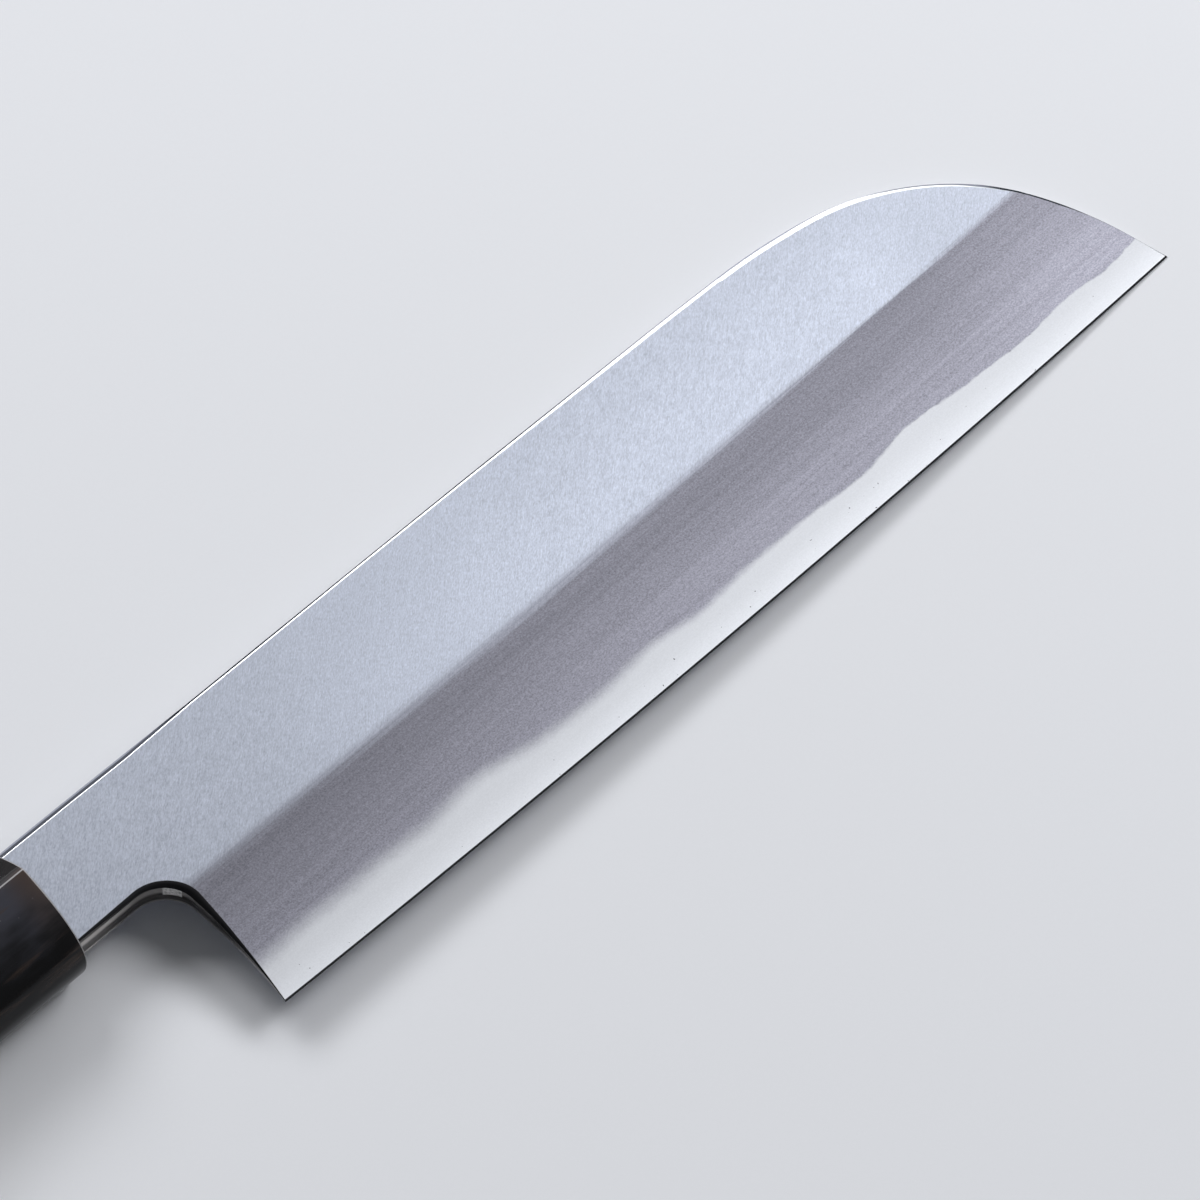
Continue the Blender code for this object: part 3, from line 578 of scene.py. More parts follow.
def slab(skin, rim, plan, rows, upper, lower):
    """Adds the faces of one metal over the chosen triangles to the skin: its top, its
    underside and the walls round it, each as corners, their normals and a finish. upper
    and lower give height, normal and finish at a place."""
    places, faces, centres = plan
    tri = faces[rows]
    corner_places = nudged(places, faces, rows).reshape(-1, 2)
    top_z, low_z = upper(places)[0], lower(places)[0]
    for surface, heights, flip in ((upper, top_z, False), (lower, low_z, True)):
        points = np.concatenate([places[tri], heights[tri][:, :, None]], 2)
        normals = surface(corner_places)[1].reshape(-1, 3, 3)
        if flip:
            points, normals = points[:, ::-1], normals[:, ::-1]
        skin.append((points, normals, np.full(len(tri), surface(centres[rows])[2])))
    ends = np.concatenate([tri[:, [0, 1]], tri[:, [1, 2]], tri[:, [2, 0]]])
    seen = {(a, b) for a, b in ends.tolist()}
    a, b = np.array([(a, b) for a, b in ends.tolist() if (b, a) not in seen]).T
    tall = np.maximum(top_z[a] - low_z[a], top_z[b] - low_z[b]) > SAME_HEIGHT
    a, b = a[tall], b[tall]
    sides = (a, low_z), (b, low_z), (b, top_z), (a, top_z)
    quads = np.stack([np.column_stack([places[end], z[end]]) for end, z in sides], 1)
    along = places[b] - places[a]
    flat_out = unit(np.column_stack([along[:, 1], -along[:, 0]]))
    normals = []
    for end in (a, b):
        gap, out, _, _, _ = rim.nearest(places[end])
        on_rim = (gap < RIM_NEAR) & ((out * flat_out).sum(1) > RIM_ALIKE)
        out = np.where(on_rim[:, None], out, flat_out)
        normals.append(np.column_stack([out, np.zeros(len(out))]))
    start, stop = normals
    normals = np.stack([start, stop, stop, start], 1)
    skin.append((quads, normals, np.full(len(quads), SIDE)))


def finish_mesh(name, skin, materials):
    """The mesh of a skin, with shared points and its own corner normals; also its points, for the
    measures across the blade that the materials read."""
    vertices, index, polygons, normals, slots = [], {}, [], [], []
    for points, ways, finishes in skin:
        for face, face_ways, finish in zip(points.tolist(), ways.tolist(), finishes.tolist()):
            ids = []
            for point in face:
                key = tuple(round(value * POINT_GRID) for value in point)
                if key not in index:
                    index[key] = len(vertices)
                    vertices.append(point)
                ids.append(index[key])
            kept = [i for i in range(len(ids)) if ids[i] != ids[i - 1]]
            if len(kept) < 3:
                continue
            polygons.append([ids[i] for i in kept])
            normals += [face_ways[i] for i in kept]
            slots.append(finish)
    mesh = bpy.data.meshes.new(name)
    mesh.from_pydata([tuple(world_point(v)) for v in vertices], [], polygons)
    mesh.polygons.foreach_set("material_index", slots)
    for made in materials:
        mesh.materials.append(made)
    mesh.shade_smooth()
    mesh.normals_split_custom_set(normals)
    return add_object(name, mesh), np.array(vertices)


def add_measure(obj, name, values):
    attribute = obj.data.attributes.new(name, "FLOAT", "POINT")
    attribute.data.foreach_set("value", np.asarray(values, np.float32))


def blade_pieces(iron_finishes, steel_finishes):
    """The two metals, each with the finishes of its face, its sides and its back."""
    rim = Rim()
    plan = blade_plan(rim)
    centres = plan[2]
    reach = centres[:, 0] > -STEEL_REACH

    def top(where):
        return (*top_surface(rim, where), FACE)

    def back(where):
        return (*back_surface(rim, where), BACK)

    def weld(where):
        return weld_z(np.maximum(where[:, 0], -STEEL_REACH))

    def steel_top(where):
        """The ground side below the weld line, and the hidden weld above it."""
        height, normal, _ = top(where)
        under = height > weld(where) + SAME_HEIGHT
        normal = np.where(under[:, None], (0.0, 0.0, 1.0), normal)
        height = np.where(under, weld(where) - WELD_SEAM / 2, height)
        return height, normal, np.where(under, SIDE, FACE)

    def iron_back(where):
        """The hidden weld over the steel, and the back of the neck and the tang behind it."""
        height, normal, _ = back(where)
        over = where[:, 0] > -STEEL_REACH - WELD_SEAM
        weld_height = np.minimum(weld(where) + WELD_SEAM / 2, top(where)[0])
        normal = np.where(over[:, None], (0.0, 0.0, -1.0), normal)
        return np.where(over, weld_height, height), normal, SIDE

    above = top(centres)[0] > weld(centres)
    made = []
    for name, rows, surfaces, finishes in (
        ("blade_iron", above | ~reach, (top, iron_back), iron_finishes),
        ("blade_steel", reach, (steel_top, back), steel_finishes),
    ):
        skin = []
        slab(skin, rim, plan, rows, *surfaces)
        obj, vertices = finish_mesh(name, skin, finishes)
        where = vertices[:, :2]
        gap, _, _, dark, strip = rim.nearest(where)
        for part, height in (("weld", weld_y), ("ridge", ridge_y), ("edge", edge_y)):
            add_measure(obj, "from_" + part, where[:, 1] - height(where[:, 0]))
        add_measure(obj, "past_line", np.minimum(gap - dark, PAST_LIMIT))
        add_measure(obj, "past_strip", np.minimum(gap - dark - strip, PAST_LIMIT))
        made.append(obj)
    return made


def world_point(point):
    return (Vector(point) + PLACE) * MM


def add_object(name, data):
    obj = bpy.data.objects.new(name, data)
    bpy.context.scene.collection.objects.link(obj)
    return obj


# Handle

def handle_center():
    return NECK_AXIS + HANDLE_RAISE, THICKNESS_NECK / 2


def handle_section(share, inset):
    """The D-shaped section: an oval belly and two flanks that meet in a softened ridge."""
    half = mix(FRONT_WIDTH, BUTT_WIDTH, share) / 2 - inset
    belly = mix(FRONT_BELLY, BUTT_BELLY, share) - inset
    crown = mix(FRONT_CROWN, BUTT_CROWN, share) - inset
    a, b, d = (np.array(p) for p in ((half, 0.0), (half, crown * CROWN_LOW), (0.0, crown)))
    reach = half * CROWN_REACH
    c = d + (reach, -reach * math.tan(CROWN_SLOPE))
    flank = [bezier(a, b, c, d, i / SECTION_STEPS) for i in range(SECTION_STEPS)]
    flank = [p for p in flank if p[0] > RIDGE_ROUND]
    low = flank[-1]
    lift = low[0] * math.tan(CROWN_SLOPE)
    guide = np.array((low[0] * RIDGE_GUIDE[0], low[1] + lift * RIDGE_GUIDE[1]))
    guide = mix(low, guide, RIDGE_DRAW)
    peak = np.array((0.0, low[1] + lift * RIDGE_PEAK))
    level = np.array((low[0] * RIDGE_LEVEL, peak[1]))
    turn = [bezier(low, guide, level, peak, i / RIDGE_STEPS) for i in range(1, RIDGE_STEPS + 1)]
    upper = flank + turn
    far = [np.array((-p[0], p[1])) for p in reversed(upper[1:-1])]
    far.append(np.array((-half, 0.0)))
    under = []
    for i in range(1, SECTION_STEPS):
        angle = math.pi * (1 + i / SECTION_STEPS)
        under.append(np.array((half * math.cos(angle), belly * math.sin(angle))))
    return upper + far + under


def handle_ring(x, inset=0.0):
    y, z = handle_center()
    share = min(max((-x - NECK_LENGTH) / HANDLE_LENGTH, 0.0), 1.0)
    return [(x, y + p[0], z + p[1]) for p in handle_section(share, inset)]


def handle_rings(start, end, radius, count):
    """Rings from one end of a handle piece to the other, which is rounded."""
    toward = math.copysign(1.0, end - start)
    rings = [handle_ring(mix(start, end - toward * radius, i / count)) for i in range(count)]
    for i in range(ROUND_RINGS):
        angle = i / (ROUND_RINGS - 1) * math.pi / 2
        inset = radius * (1 - math.cos(angle))
        rings.append(handle_ring(end - toward * radius * (1 - math.sin(angle)), inset))
    return rings


def loft(name, rings):
    """A closed body over a row of rings of equal count."""
    count = len(rings[0])
    vertices = [tuple(world_point(point)) for ring in rings for point in ring]
    faces = [tuple(range(count)), tuple((len(rings) - 1) * count + i for i in range(count))]
    for r in range(len(rings) - 1):
        for i in range(count):
            j = (i + 1) % count
            faces.append((r * count + i, r * count + j, (r + 1) * count + j, (r + 1) * count + i))
    mesh = bpy.data.meshes.new(name)
    mesh.from_pydata(vertices, [], faces)
    work = bmesh.new()
    work.from_mesh(mesh)
    bmesh.ops.recalc_face_normals(work, faces=work.faces)
    work.to_mesh(mesh)
    work.free()
    return add_object(name, mesh)


def oval_rings(x_from, x_to, width, depth):
    y, z = handle_center()
    turns = [2 * math.pi * i / OVAL_STEPS for i in range(OVAL_STEPS)]
    oval = [(y + width / 2 * math.cos(a), z + depth / 2 * math.sin(a)) for a in turns]
    return [[(x, *place) for place in oval] for x in (x_from, x_to)]


def slot_rings(stops):
    rings = []
    for x, low, high, deep in stops:
        low, high = low - CLEARANCE, high + CLEARANCE
        bottom, top = -CLEARANCE, deep + CLEARANCE
        rings.append([(x, low, bottom), (x, high, bottom), (x, high, top), (x, low, top)])
    return rings


def carve(obj, rings, operation):
    """Joins obj with the body over the rings, or cuts that body out of it."""
    other = loft("other", rings)
    modifier = obj.modifiers.new(operation, "BOOLEAN")
    modifier.object, modifier.operation, modifier.solver = other, operation, "EXACT"
    bpy.context.view_layer.update()
    graph = bpy.context.evaluated_depsgraph_get()
    mesh = bpy.data.meshes.new_from_object(obj.evaluated_get(graph))
    obj.modifiers.clear()
    obj.data = mesh
    bpy.data.objects.remove(other, do_unlink=True)


def shade_round(obj, made):
    obj.data.materials.clear()
    obj.data.materials.append(made)
    obj.data.shade_smooth()
    obj.data.set_sharp_from_angle(angle=SHARP_ANGLE)
    return obj


def ferrule_piece(made):
    front, back = -NECK_LENGTH, -NECK_LENGTH - FERRULE_LENGTH
    obj = loft("ferrule_horn", handle_rings(back, front, FERRULE_ROUND, FERRULE_RINGS))
    width, depth = TENON_WIDTH + 2 * CLEARANCE, TENON_THICKNESS + 2 * CLEARANCE
    bore = oval_rings(front - FERRULE_WALL, back - BORE_PAST, width, depth)
    carve(obj, bore, "DIFFERENCE")
    slot_ends = front + BORE_PAST, front - FERRULE_WALL - SLOT_PAST
    stops = [(x, NECK_LOW, HEEL_HEIGHT, THICKNESS_NECK) for x in slot_ends]
    carve(obj, slot_rings(stops), "DIFFERENCE")
    return shade_round(obj, made)


def handle_piece(made):
    front, butt = -NECK_LENGTH - FERRULE_LENGTH, -NECK_LENGTH - HANDLE_LENGTH
    obj = loft("handle_wood", handle_rings(front, butt, BUTT_ROUND, HANDLE_RINGS))
    tenon_end = -NECK_LENGTH - FERRULE_WALL - TENON_GAP
    tenon = oval_rings(tenon_end, front - BORE_PAST, TENON_WIDTH, TENON_THICKNESS)
    carve(obj, tenon, "UNION")
    root = -NECK_LENGTH - TANG_SHOULDER - TANG_COVE
    end = -NECK_LENGTH - TANG_LENGTH - CLEARANCE
    stops = []
    for x in (-NECK_LENGTH - FERRULE_WALL + SLOT_PAST, end):
        half = (TANG_END + (TANG_ROOT - TANG_END) * (x - end) / (root - end)) / 2
        stops.append((x, NECK_AXIS - half, NECK_AXIS + half, float(thickness(np.array(x)))))
    carve(obj, slot_rings(stops), "DIFFERENCE")
    return shade_round(obj, made)


# Materials

class Nodes:
    """A short hand for building the nodes of a material or the world."""

    def __init__(self, owner, shader="Principled BSDF"):
        self.owner = owner
        owner.use_nodes = True
        self.tree = owner.node_tree
        self.shader = self.tree.nodes[shader]

    def new(self, kind, **settings):
        node = self.tree.nodes.new(kind)
        for key, value in settings.items():
            setattr(node, key, value)
        return node

    def feed(self, socket, value):
        if isinstance(value, bpy.types.NodeSocket):
            self.tree.links.new(value, socket)
        elif value is not None:
            socket.default_value = value

    def math(self, operation, a, b=None, c=None):
        node = self.new("ShaderNodeMath", operation=operation)
        for socket, value in zip(node.inputs, (a, b, c)):
            self.feed(socket, value)
        return node.outputs[0]

    def times(self, first, *others):
        for other in others:
            first = self.math("MULTIPLY", first, other)
        return first

    def either(self, a, b):
        return self.math("MAXIMUM", a, b)

    def sum(self, start, *terms):
        """Adds factor times value to the start for each (factor, value)."""
        for factor, value in terms:
            start = self.math("MULTIPLY_ADD", value, factor, start)
        return start

    def off(self, value, middle):
        """How far the value is from the middle."""
        return self.math("ABSOLUTE", self.math("SUBTRACT", value, middle))

    def range(self, value, low, high, to_low=0.0, to_high=1.0, kind="SMOOTHSTEP"):
        node = self.new("ShaderNodeMapRange", interpolation_type=kind)
        for socket, item in zip(node.inputs, (value, low, high, to_low, to_high)):
            self.feed(socket, item)
        return node.outputs[0]

    def under(self, value, limit, soft):
        """1 where the value is under the limit, 0 above it, with a soft step between."""
        return self.range(value, limit - soft / 2, limit + soft / 2, 1.0, 0.0)

    def blend(self, factor, a, b):
        """A colour that goes from a to b with the factor."""
        node = self.new("ShaderNodeMix", data_type="RGBA")
        for index, item in ((0, factor), (6, a), (7, b)):
            if isinstance(item, tuple):
                item = (*item, 1.0)
            self.feed(node.inputs[index], item)
        return node.outputs[2]

    def level(self, factor, a, b):
        """A number that goes from a to b with the factor."""
        node = self.new("ShaderNodeMix", data_type="FLOAT")
        for index, item in ((0, factor), (2, a), (3, b)):
            self.feed(node.inputs[index], item)
        return node.outputs[0]

    def shade(self, color, factor):
        """The colour times a factor."""
        node = self.new("ShaderNodeVectorMath", operation="SCALE")
        self.feed(node.inputs[0], color)
        self.feed(node.inputs["Scale"], factor)
        return node.outputs[0]

    def measure(self, name):
        return self.new("ShaderNodeAttribute", attribute_name=name).outputs["Fac"]

    def place(self):
        """Millimetres from the heel corner."""
        where = self.new("ShaderNodeTexCoord").outputs["Object"]
        node = self.new("ShaderNodeVectorMath", operation="SUBTRACT")
        self.feed(node.inputs[0], self.shade(where, 1.0 / MM))
        self.feed(node.inputs[1], tuple(PLACE))
        return node.outputs[0]

    def axes(self, where):
        node = self.new("ShaderNodeSeparateXYZ")
        self.feed(node.inputs[0], where)
        return node.outputs

    def noise(self, where, turn, size, detail=3.0, roughness=0.55):
        """Noise centred on 0, about -0.5 to 0.5. size is in mm along the turned x, y and z."""
        turned = self.new("ShaderNodeMapping")
        self.feed(turned.inputs["Vector"], where)
        turned.inputs["Rotation"].default_value = (0.0, 0.0, -turn)
        sized = self.new("ShaderNodeVectorMath", operation="DIVIDE")
        self.feed(sized.inputs[0], turned.outputs[0])
        self.feed(sized.inputs[1], size)
        node = self.new("ShaderNodeTexNoise")
        self.feed(node.inputs["Vector"], sized.outputs[0])
        node.inputs["Scale"].default_value = 1.0
        node.inputs["Detail"].default_value = detail
        node.inputs["Roughness"].default_value = roughness
        return self.math("SUBTRACT", node.outputs["Fac"], 0.5)

    def bump(self, height, distance=METAL_BUMP):
        node = self.new("ShaderNodeBump")
        self.feed(node.inputs["Height"], height)
        node.inputs["Distance"].default_value = distance * MM
        return node.outputs[0]

    def set(self, **values):
        names = {"color": "Base Color", "rough": "Roughness", "metal": "Metallic",
                 "normal": "Normal", "ior": "IOR"}
        for key, value in values.items():
            self.feed(self.shader.inputs[names[key]], value)
        return self.owner


def blade_face(name):
    """The ground side: the brushed flat, the hazy grey iron of the bevel, and the bright
    steel below the weld, with painted light and shade along the blade, and painted dark
    lines along the rim and the cutting edge."""
    n = Nodes(bpy.data.materials.new(name))
    where = n.place()
    x, y, _ = n.axes(where)
    heel_to_tip = n.range(x, *HEEL_TO_TIP)
    ridge, weld, edge = (n.measure("from_" + part) for part in ("ridge", "weld", "edge"))
    past_line, past_strip = n.measure("past_line"), n.measure("past_strip")

    # brushed flat: short marks across the blade over soft clouds
    fine, dots, middle, cloud = (n.noise(where, *size) for size in FLAT_TEXTURES)
    light = n.sum(1.0, *zip(FLAT_SHARES, (fine, dots, middle, cloud)))
    lift = n.times(n.range(x, *LIFT_FROM), n.under(x, *LIFT_UNTIL), n.under(ridge, *LIFT_ABOVE))
    # painted shade: the flat darker at the heel and towards the nose
    light = n.times(light, n.range(x, *FLAT_SHADE_AT_HEEL, kind="LINEAR"), n.sum(1.0, (LIFT, lift)))
    flat = n.shade(FLAT_COLOR, n.times(light, n.range(x, *FLAT_SHADE_AT_NOSE)))

    # hazy iron: an even grain, with streaks along the blade, in painted shade at the heel and
    # painted light towards the tip
    streak, wide, grain = (n.noise(where, *size) for size in BEVEL_TEXTURES)
    light = n.times(
        n.range(ridge, *BEVEL_ACROSS), n.sum(1.0, *zip(BEVEL_SHARES, (streak, wide, grain))),
        n.range(x, *BEVEL_SHADE_AT_HEEL), n.range(x, *BEVEL_LIGHT_AT_TIP),
    )
    iron = n.shade(BEVEL_COLOR, light)

    # bright steel, in painted shade towards the tip
    hair = n.noise(where, *STEEL_HAIR)
    light = n.sum(1.0, *zip(STEEL_SHARES, (hair, grain, wide)))
    light = n.times(light, n.range(edge, *STEEL_ACROSS), n.range(x, *STEEL_SHADE_AT_TIP))
    steel = n.shade(STEEL_COLOR, light)

    # the weld line: crisp towards the tip, hazy towards the heel
    haze = n.range(heel_to_tip, 0.0, 1.0, *WELD_HAZE, kind="LINEAR")
    ragged = n.sum(weld, *zip(WELD_SHARES, (n.noise(where, *WELD_RAGS), streak)))
    bevel = n.blend(n.range(n.math("DIVIDE", ragged, haze), -1.0, 1.0), steel, iron)

    # the ridge: a soft fringe towards the heel
    fringe = n.sum(n.math("SUBTRACT", ridge, FRINGE_RISE), *zip(FRINGE_SHARES, (streak, fine)))
    over_ridge = n.range(n.math("DIVIDE", fringe, n.range(x, *FRINGE_BLUR)), -1.0, 1.0)
    face = n.blend(over_ridge, bevel, flat)
    speck = n.range(n.noise(where, *SPECKS), *SPECK_STEP)
    face = n.blend(n.times(speck, n.under(edge, *SPECK_REACH)), face, DARK_REFLECTION_AND_PIT_COLOR)

    # the rim: a line of painted dark reflection, darker near the heel and paler at the neck and
    # the nose top, the burnished strip inside it, and the cutting edge painted dark as shade
    in_line = n.under(past_line, 0.0, LINE_SOFT)
    in_strip = n.times(n.under(past_strip, 0.0, LINE_SOFT), n.math("SUBTRACT", 1.0, in_line))
    at_edge = n.under(edge, *EDGE_LINE)
    near_heel = n.times(n.under(y, *HEEL_BELOW), n.under(x, *HEEL_BEHIND))
    nose_top = n.times(n.range(x, *NOSE_PALE_FROM), n.under(x, *NOSE_PALE_UNTIL),
                       n.range(x, *NOSE_PALE_FADE))
    neck_pale = n.level(n.under(past_line, *NECK_PALE_OUT), *NECK_PALE)
    at_neck = n.times(n.range(y, *NECK_ABOVE), n.under(x, *NECK_BEHIND), neck_pale)
    painted_line_color = n.blend(near_heel, DARK_REFLECTION_AND_PIT_COLOR, PAINTED_SHADE_COLOR)
    painted_line_color = n.blend(n.either(nose_top, at_neck), painted_line_color, PALE_LINE_REFLECTION)
    color = n.blend(in_line, n.blend(in_strip, face, STRIP_COLOR), painted_line_color)
    color = n.blend(at_edge, color, PAINTED_SHADE_COLOR)

    rough = n.sum(n.range(over_ridge, 0.0, 1.0, BEVEL_ROUGH, FLAT_ROUGH), (ROUGH_MARKS, fine))
    rough = n.level(in_strip, rough, STRIP_ROUGH)
    rough = n.level(n.either(in_line, at_edge), rough, LINE_ROUGH)
    bevel_height = n.sum(grain, (STREAK_HEIGHT, streak))
    height = n.level(over_ridge, bevel_height, n.times(fine, FINE_HEIGHT))
    return n.set(color=color, rough=rough, metal=1.0, normal=n.bump(height))


def blade_side(name):
    """The walls of the blade: brushed along the spine and the nose, and round the neck and the
    heel a smooth polish painted dark as a reflection of the shade beneath, with a band of painted
    bright reflection along it, strongest near the ferrule, lighter at its foot, and one pale
    dull spot where the neck turns."""
    n = Nodes(bpy.data.materials.new(name))
    where = n.place()
    x, y, z = n.axes(where)
    marks, patches, mottle = (n.noise(where, *size) for size in SIDE_TEXTURES)
    # painted on the walls round the heel: dark as a reflection of the shade beneath, with a
    # bright painted reflection in a band, strongest near the ferrule, and lighter at the foot
    heel = n.times(n.under(y, *WALL_BELOW), n.under(x, *WALL_BEHIND))
    band = n.times(n.range(z, *BAND_FROM), n.under(z, *BAND_UNTIL), n.range(x, *BAND_FADE))
    light = n.sum(WALL_LIGHT, *zip(WALL_SHARES, (marks, band, n.under(z, *WALL_FOOT))))
    plain = n.shade(SIDE_COLOR, n.sum(1.0, *zip(SIDE_SHARES, (marks, patches))))
    color = n.blend(heel, plain, n.blend(light, PAINTED_WALL_SHADE, PAINTED_WALL_REFLECTION))
    # one pale, dull, rough spot on the walls where the neck turns
    spot = n.times(n.under(n.off(y, PALE_SPOT[0]), *PALE_SPOT_TALL),
                   n.under(n.off(z, PALE_SPOT[1]), *PALE_SPOT_DEEP), heel)
    color = n.blend(spot, color, n.shade(PALE_SPOT_COLOR, n.sum(1.0, (PALE_SPOT_SHARE, mottle))))
    polish = n.range(patches, *TEXTURE_SPAN, *WALL_ROUGH)
    rough = n.level(spot, n.level(n.times(heel, band), polish, BAND_ROUGH), PALE_SPOT_ROUGH)
    metal = n.sum(1.0, (PALE_SPOT_METAL - 1.0, spot))
    return n.set(color=color, rough=rough, metal=metal, normal=n.bump(marks))


def blade_back(name):
    """The hollow back, ground across inside its honed rim."""
    n = Nodes(bpy.data.materials.new(name))
    where = n.place()
    cross, cloud = (n.noise(where, *size) for size in BACK_TEXTURES)
    color = n.shade(BACK_COLOR, n.sum(1.0, *zip(BACK_SHARES, (cross, cloud))))
    rough = n.range(cross, *TEXTURE_SPAN, *BACK_ROUGH)
    return n.set(color=color, rough=rough, metal=1.0, normal=n.bump(cross))


def horn(name):
    """Polished near-black horn with brown streaks, paler towards its ridge on the near flank in a
    painted sheen and browner where that nears the front rim, with a few pale flecks. The line
    of the ridge and the front rim are painted pale as highlights, and made rough."""
    n = Nodes(bpy.data.materials.new(name))
    where = n.place()
    x, y, z = n.axes(where)
    middle, _ = handle_center()
    streak, cloud, spots, scuff = (n.noise(where, *size) for size in HORN_TEXTURES)
    # painted sheen: paler towards the top of the near flank, faint on the far flank, and browner
    # where it nears the front rim
    height = n.sum(z, *zip(HORN_SHARES, (cloud, streak)))
    sheen = n.times(n.range(height, *HORN_SHEEN_FROM),
                   n.range(y, middle, middle + 1.0, 1.0, HORN_SHEEN_FAR))
    near_rim = n.times(n.range(x, *HORN_RIM_FROM), sheen, HORN_RIM_SHARE)
    brown = n.either(n.range(streak, *HORN_BROWN_STREAK), near_rim)
    color = n.blend(brown, n.blend(sheen, HORN_COLOR, HORN_SHEEN), HORN_BROWN)
    # painted highlights: a pale line along the ridge and round the front rim, made rough
    off_ridge = n.off(y, middle)
    on_ridge = n.times(n.under(off_ridge, *HORN_RIDGE),
                       n.range(z, THICKNESS_NECK, THICKNESS_NECK + 1.0))
    off_rim = n.off(x, -NECK_LENGTH - FERRULE_ROUND / 2)
    arris = n.either(on_ridge, n.times(n.under(off_rim, *HORN_RIM), HORN_HIGHLIGHT_SHARE))
    fleck = n.times(n.range(spots, *FLECK_STEP), FLECK_SHARE)
    color = n.blend(n.either(n.times(arris, HORN_HIGHLIGHT_SHARE), fleck), color, HORN_HIGHLIGHT_AND_FLECK)
    behind = n.times(n.range(y, middle - 0.2, middle), n.under(off_ridge, *HORN_BEHIND))
    polish = n.range(scuff, *TEXTURE_SPAN, *HORN_ROUGH)
    rough = n.level(n.either(arris, behind), polish, HORN_LINE_ROUGH)
    marks = n.bump(n.sum(scuff, (HORN_STREAK_HEIGHT, streak)))
    return n.set(color=color, rough=rough, ior=HORN_IOR, normal=marks)


def wood(name):
    """Pale close-grained wood with fine pores along its length."""
    n = Nodes(bpy.data.materials.new(name))
    where = n.place()
    band, line, pore = (n.noise(where, *size) for size in WOOD_TEXTURES)
    color = n.blend(n.range(band, *WOOD_BANDS), WOOD_PALE, WOOD_DARK)
    color = n.shade(color, n.sum(1.0, *zip(WOOD_SHARES, (line, pore))))
    rough = n.range(pore, *TEXTURE_SPAN, *WOOD_ROUGH)
    marks = n.bump(n.sum(0.0, *zip(WOOD_HEIGHTS, (pore, line))), WOOD_BUMP)
    return n.set(color=color, rough=rough, normal=marks)


def table_finish(name):
    n = Nodes(bpy.data.materials.new(name))
    soft = n.noise(n.place(), *TABLE_TEXTURE)
    color = n.shade(TABLE_COLOR, n.sum(1.0, (TABLE_SHARE, soft)))
    return n.set(color=color, rough=TABLE_ROUGH)


# Stage

def table():
    half = TABLE_SIZE / 2
    points = []
    for x, y in ((-half, -half), (half, -half), (half, half), (-half, half)):
        z = TABLE_HEIGHT + TABLE_RISE_X * x + TABLE_RISE_Y * y
        points.append(tuple(world_point((x, y, z))))
    mesh = bpy.data.meshes.new("table")
    mesh.from_pydata(points, [], [(0, 1, 2, 3)])
    mesh.materials.append(table_finish("table"))
    add_object("table", mesh)


def view_axes():
    right = Vector((math.cos(VIEW_TURN), -math.sin(VIEW_TURN), 0.0))
    away = Vector((math.sin(VIEW_TURN), math.cos(VIEW_TURN), 0.0))
    forward = math.cos(VIEW_HEIGHT) * away - math.sin(VIEW_HEIGHT) * Vector((0.0, 0.0, 1.0))
    return right, away, forward, right.cross(forward)


def camera():
    right, _, forward, up = view_axes()
    data = bpy.data.cameras.new("camera")
    data.lens, data.sensor_width, data.sensor_fit = LENS, SENSOR, "AUTO"
    data.clip_start, data.clip_end = CLIP
    obj = add_object("camera", data)
    eye = world_point((*VIEW_TARGET, 0.0)) - forward * VIEW_DISTANCE * MM
    turn = Matrix((right, up, -forward)).transposed()
    obj.matrix_world = Matrix.Translation(eye) @ turn.to_4x4()
    bpy.context.scene.camera = obj


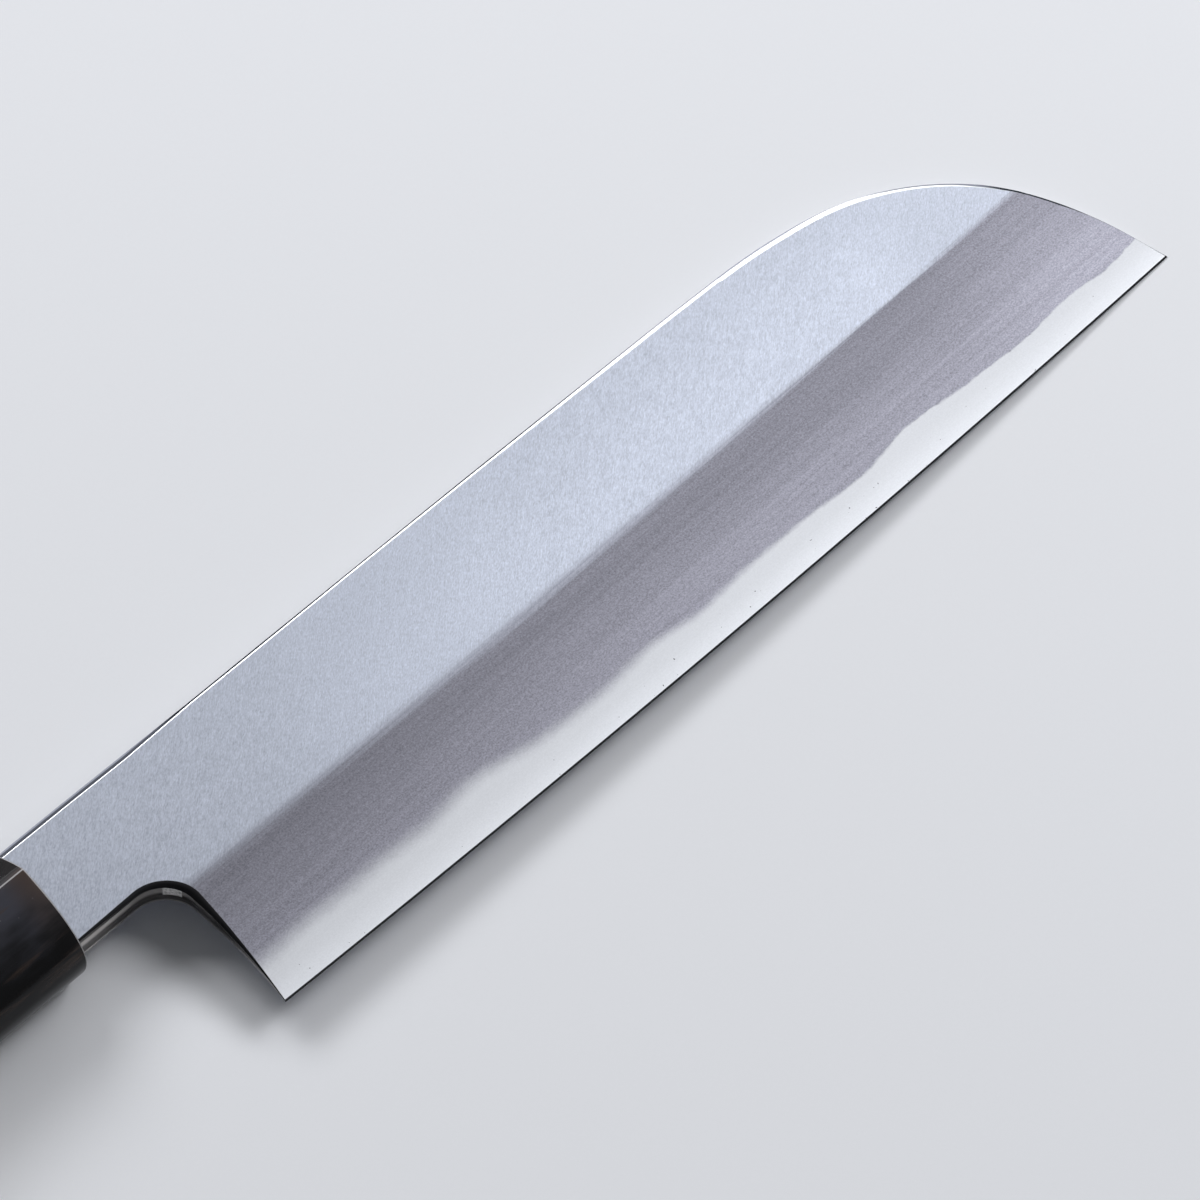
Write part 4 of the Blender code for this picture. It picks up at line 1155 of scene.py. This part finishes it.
def softbox(name, across, ahead, height, glow):
    """A lamp facing straight down over the table."""
    right, away, _, _ = view_axes()
    middle = right * sum(across) / 2 + away * sum(ahead) / 2 + Vector((0.0, 0.0, height))
    place = world_point((*VIEW_TARGET, 0.0)) + middle * MM
    data = bpy.data.lights.new(name, "AREA")
    data.shape = "RECTANGLE"
    data.size, data.size_y = (across[1] - across[0]) * MM, (ahead[1] - ahead[0]) * MM
    data.energy = math.pi * data.size * data.size_y * glow
    obj = add_object(name, data)
    turn = Matrix((right, away, right.cross(away))).transposed()
    obj.matrix_world = Matrix.Translation(place) @ turn.to_4x4()


def world_light():
    """A faint fill for matt surfaces. The camera and the metals see the pale studio round
    about, brightest to the far right."""
    right, away, _, _ = view_axes()
    world = bpy.data.worlds.new("studio")
    bpy.context.scene.world = world
    n = Nodes(world, "Background")
    side, ahead, up = WORLD_BRIGHT_WAY
    bright_way = right * side + away * ahead + Vector((0.0, 0.0, up))
    toward = n.new("ShaderNodeVectorMath", operation="DOT_PRODUCT")
    n.feed(toward.inputs[0], n.new("ShaderNodeTexCoord").outputs["Generated"])
    n.feed(toward.inputs[1], bright_way.normalized())
    studio = (WORLD_DIM_AT, 1.0, WORLD_DIM, WORLD_BRIGHT)
    seen = n.range(toward.outputs["Value"], *studio, kind="LINEAR")
    rays = n.new("ShaderNodeLightPath").outputs
    shown = n.either(rays["Is Camera Ray"], rays["Is Glossy Ray"])
    shown = n.either(shown, rays["Is Transmission Ray"])
    n.feed(n.shader.inputs["Color"], (*WORLD_COLOR, 1.0))
    n.feed(n.shader.inputs["Strength"], n.level(shown, WORLD_FILL, seen))


# The heel corner's place in millimetres, from the boxes of the solids
PLACE = Vector((
    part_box("steel_layer")[1].x / MM - EDGE_LENGTH,
    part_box("iron_body")[1].y / MM - HEEL_HEIGHT,
    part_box("wood_handle")[0].z / MM - (THICKNESS_NECK / 2 - BUTT_BELLY),
))

iron_piece, steel_piece = blade_pieces(
    (blade_face("iron_face"), blade_side("iron_side")),
    (blade_face("steel_face"), blade_side("steel_side"), blade_back("steel_back")),
)
horn_piece = ferrule_piece(horn("horn"))
wood_piece = handle_piece(wood("wood"))
for piece, node, slot in (
    (iron_piece, "iron_body", "soft_iron"),
    (steel_piece, "steel_layer", "hard_steel"),
    (horn_piece, "horn_ferrule", "dark_horn"),
    (wood_piece, "wood_handle", "pale_wood"),
):
    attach(piece, "root")
    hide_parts(node)

table()
camera()
for lamp, settings in LAMPS.items():
    softbox(lamp, *settings)
world_light()
bpy.context.scene.view_settings.view_transform = "Standard"
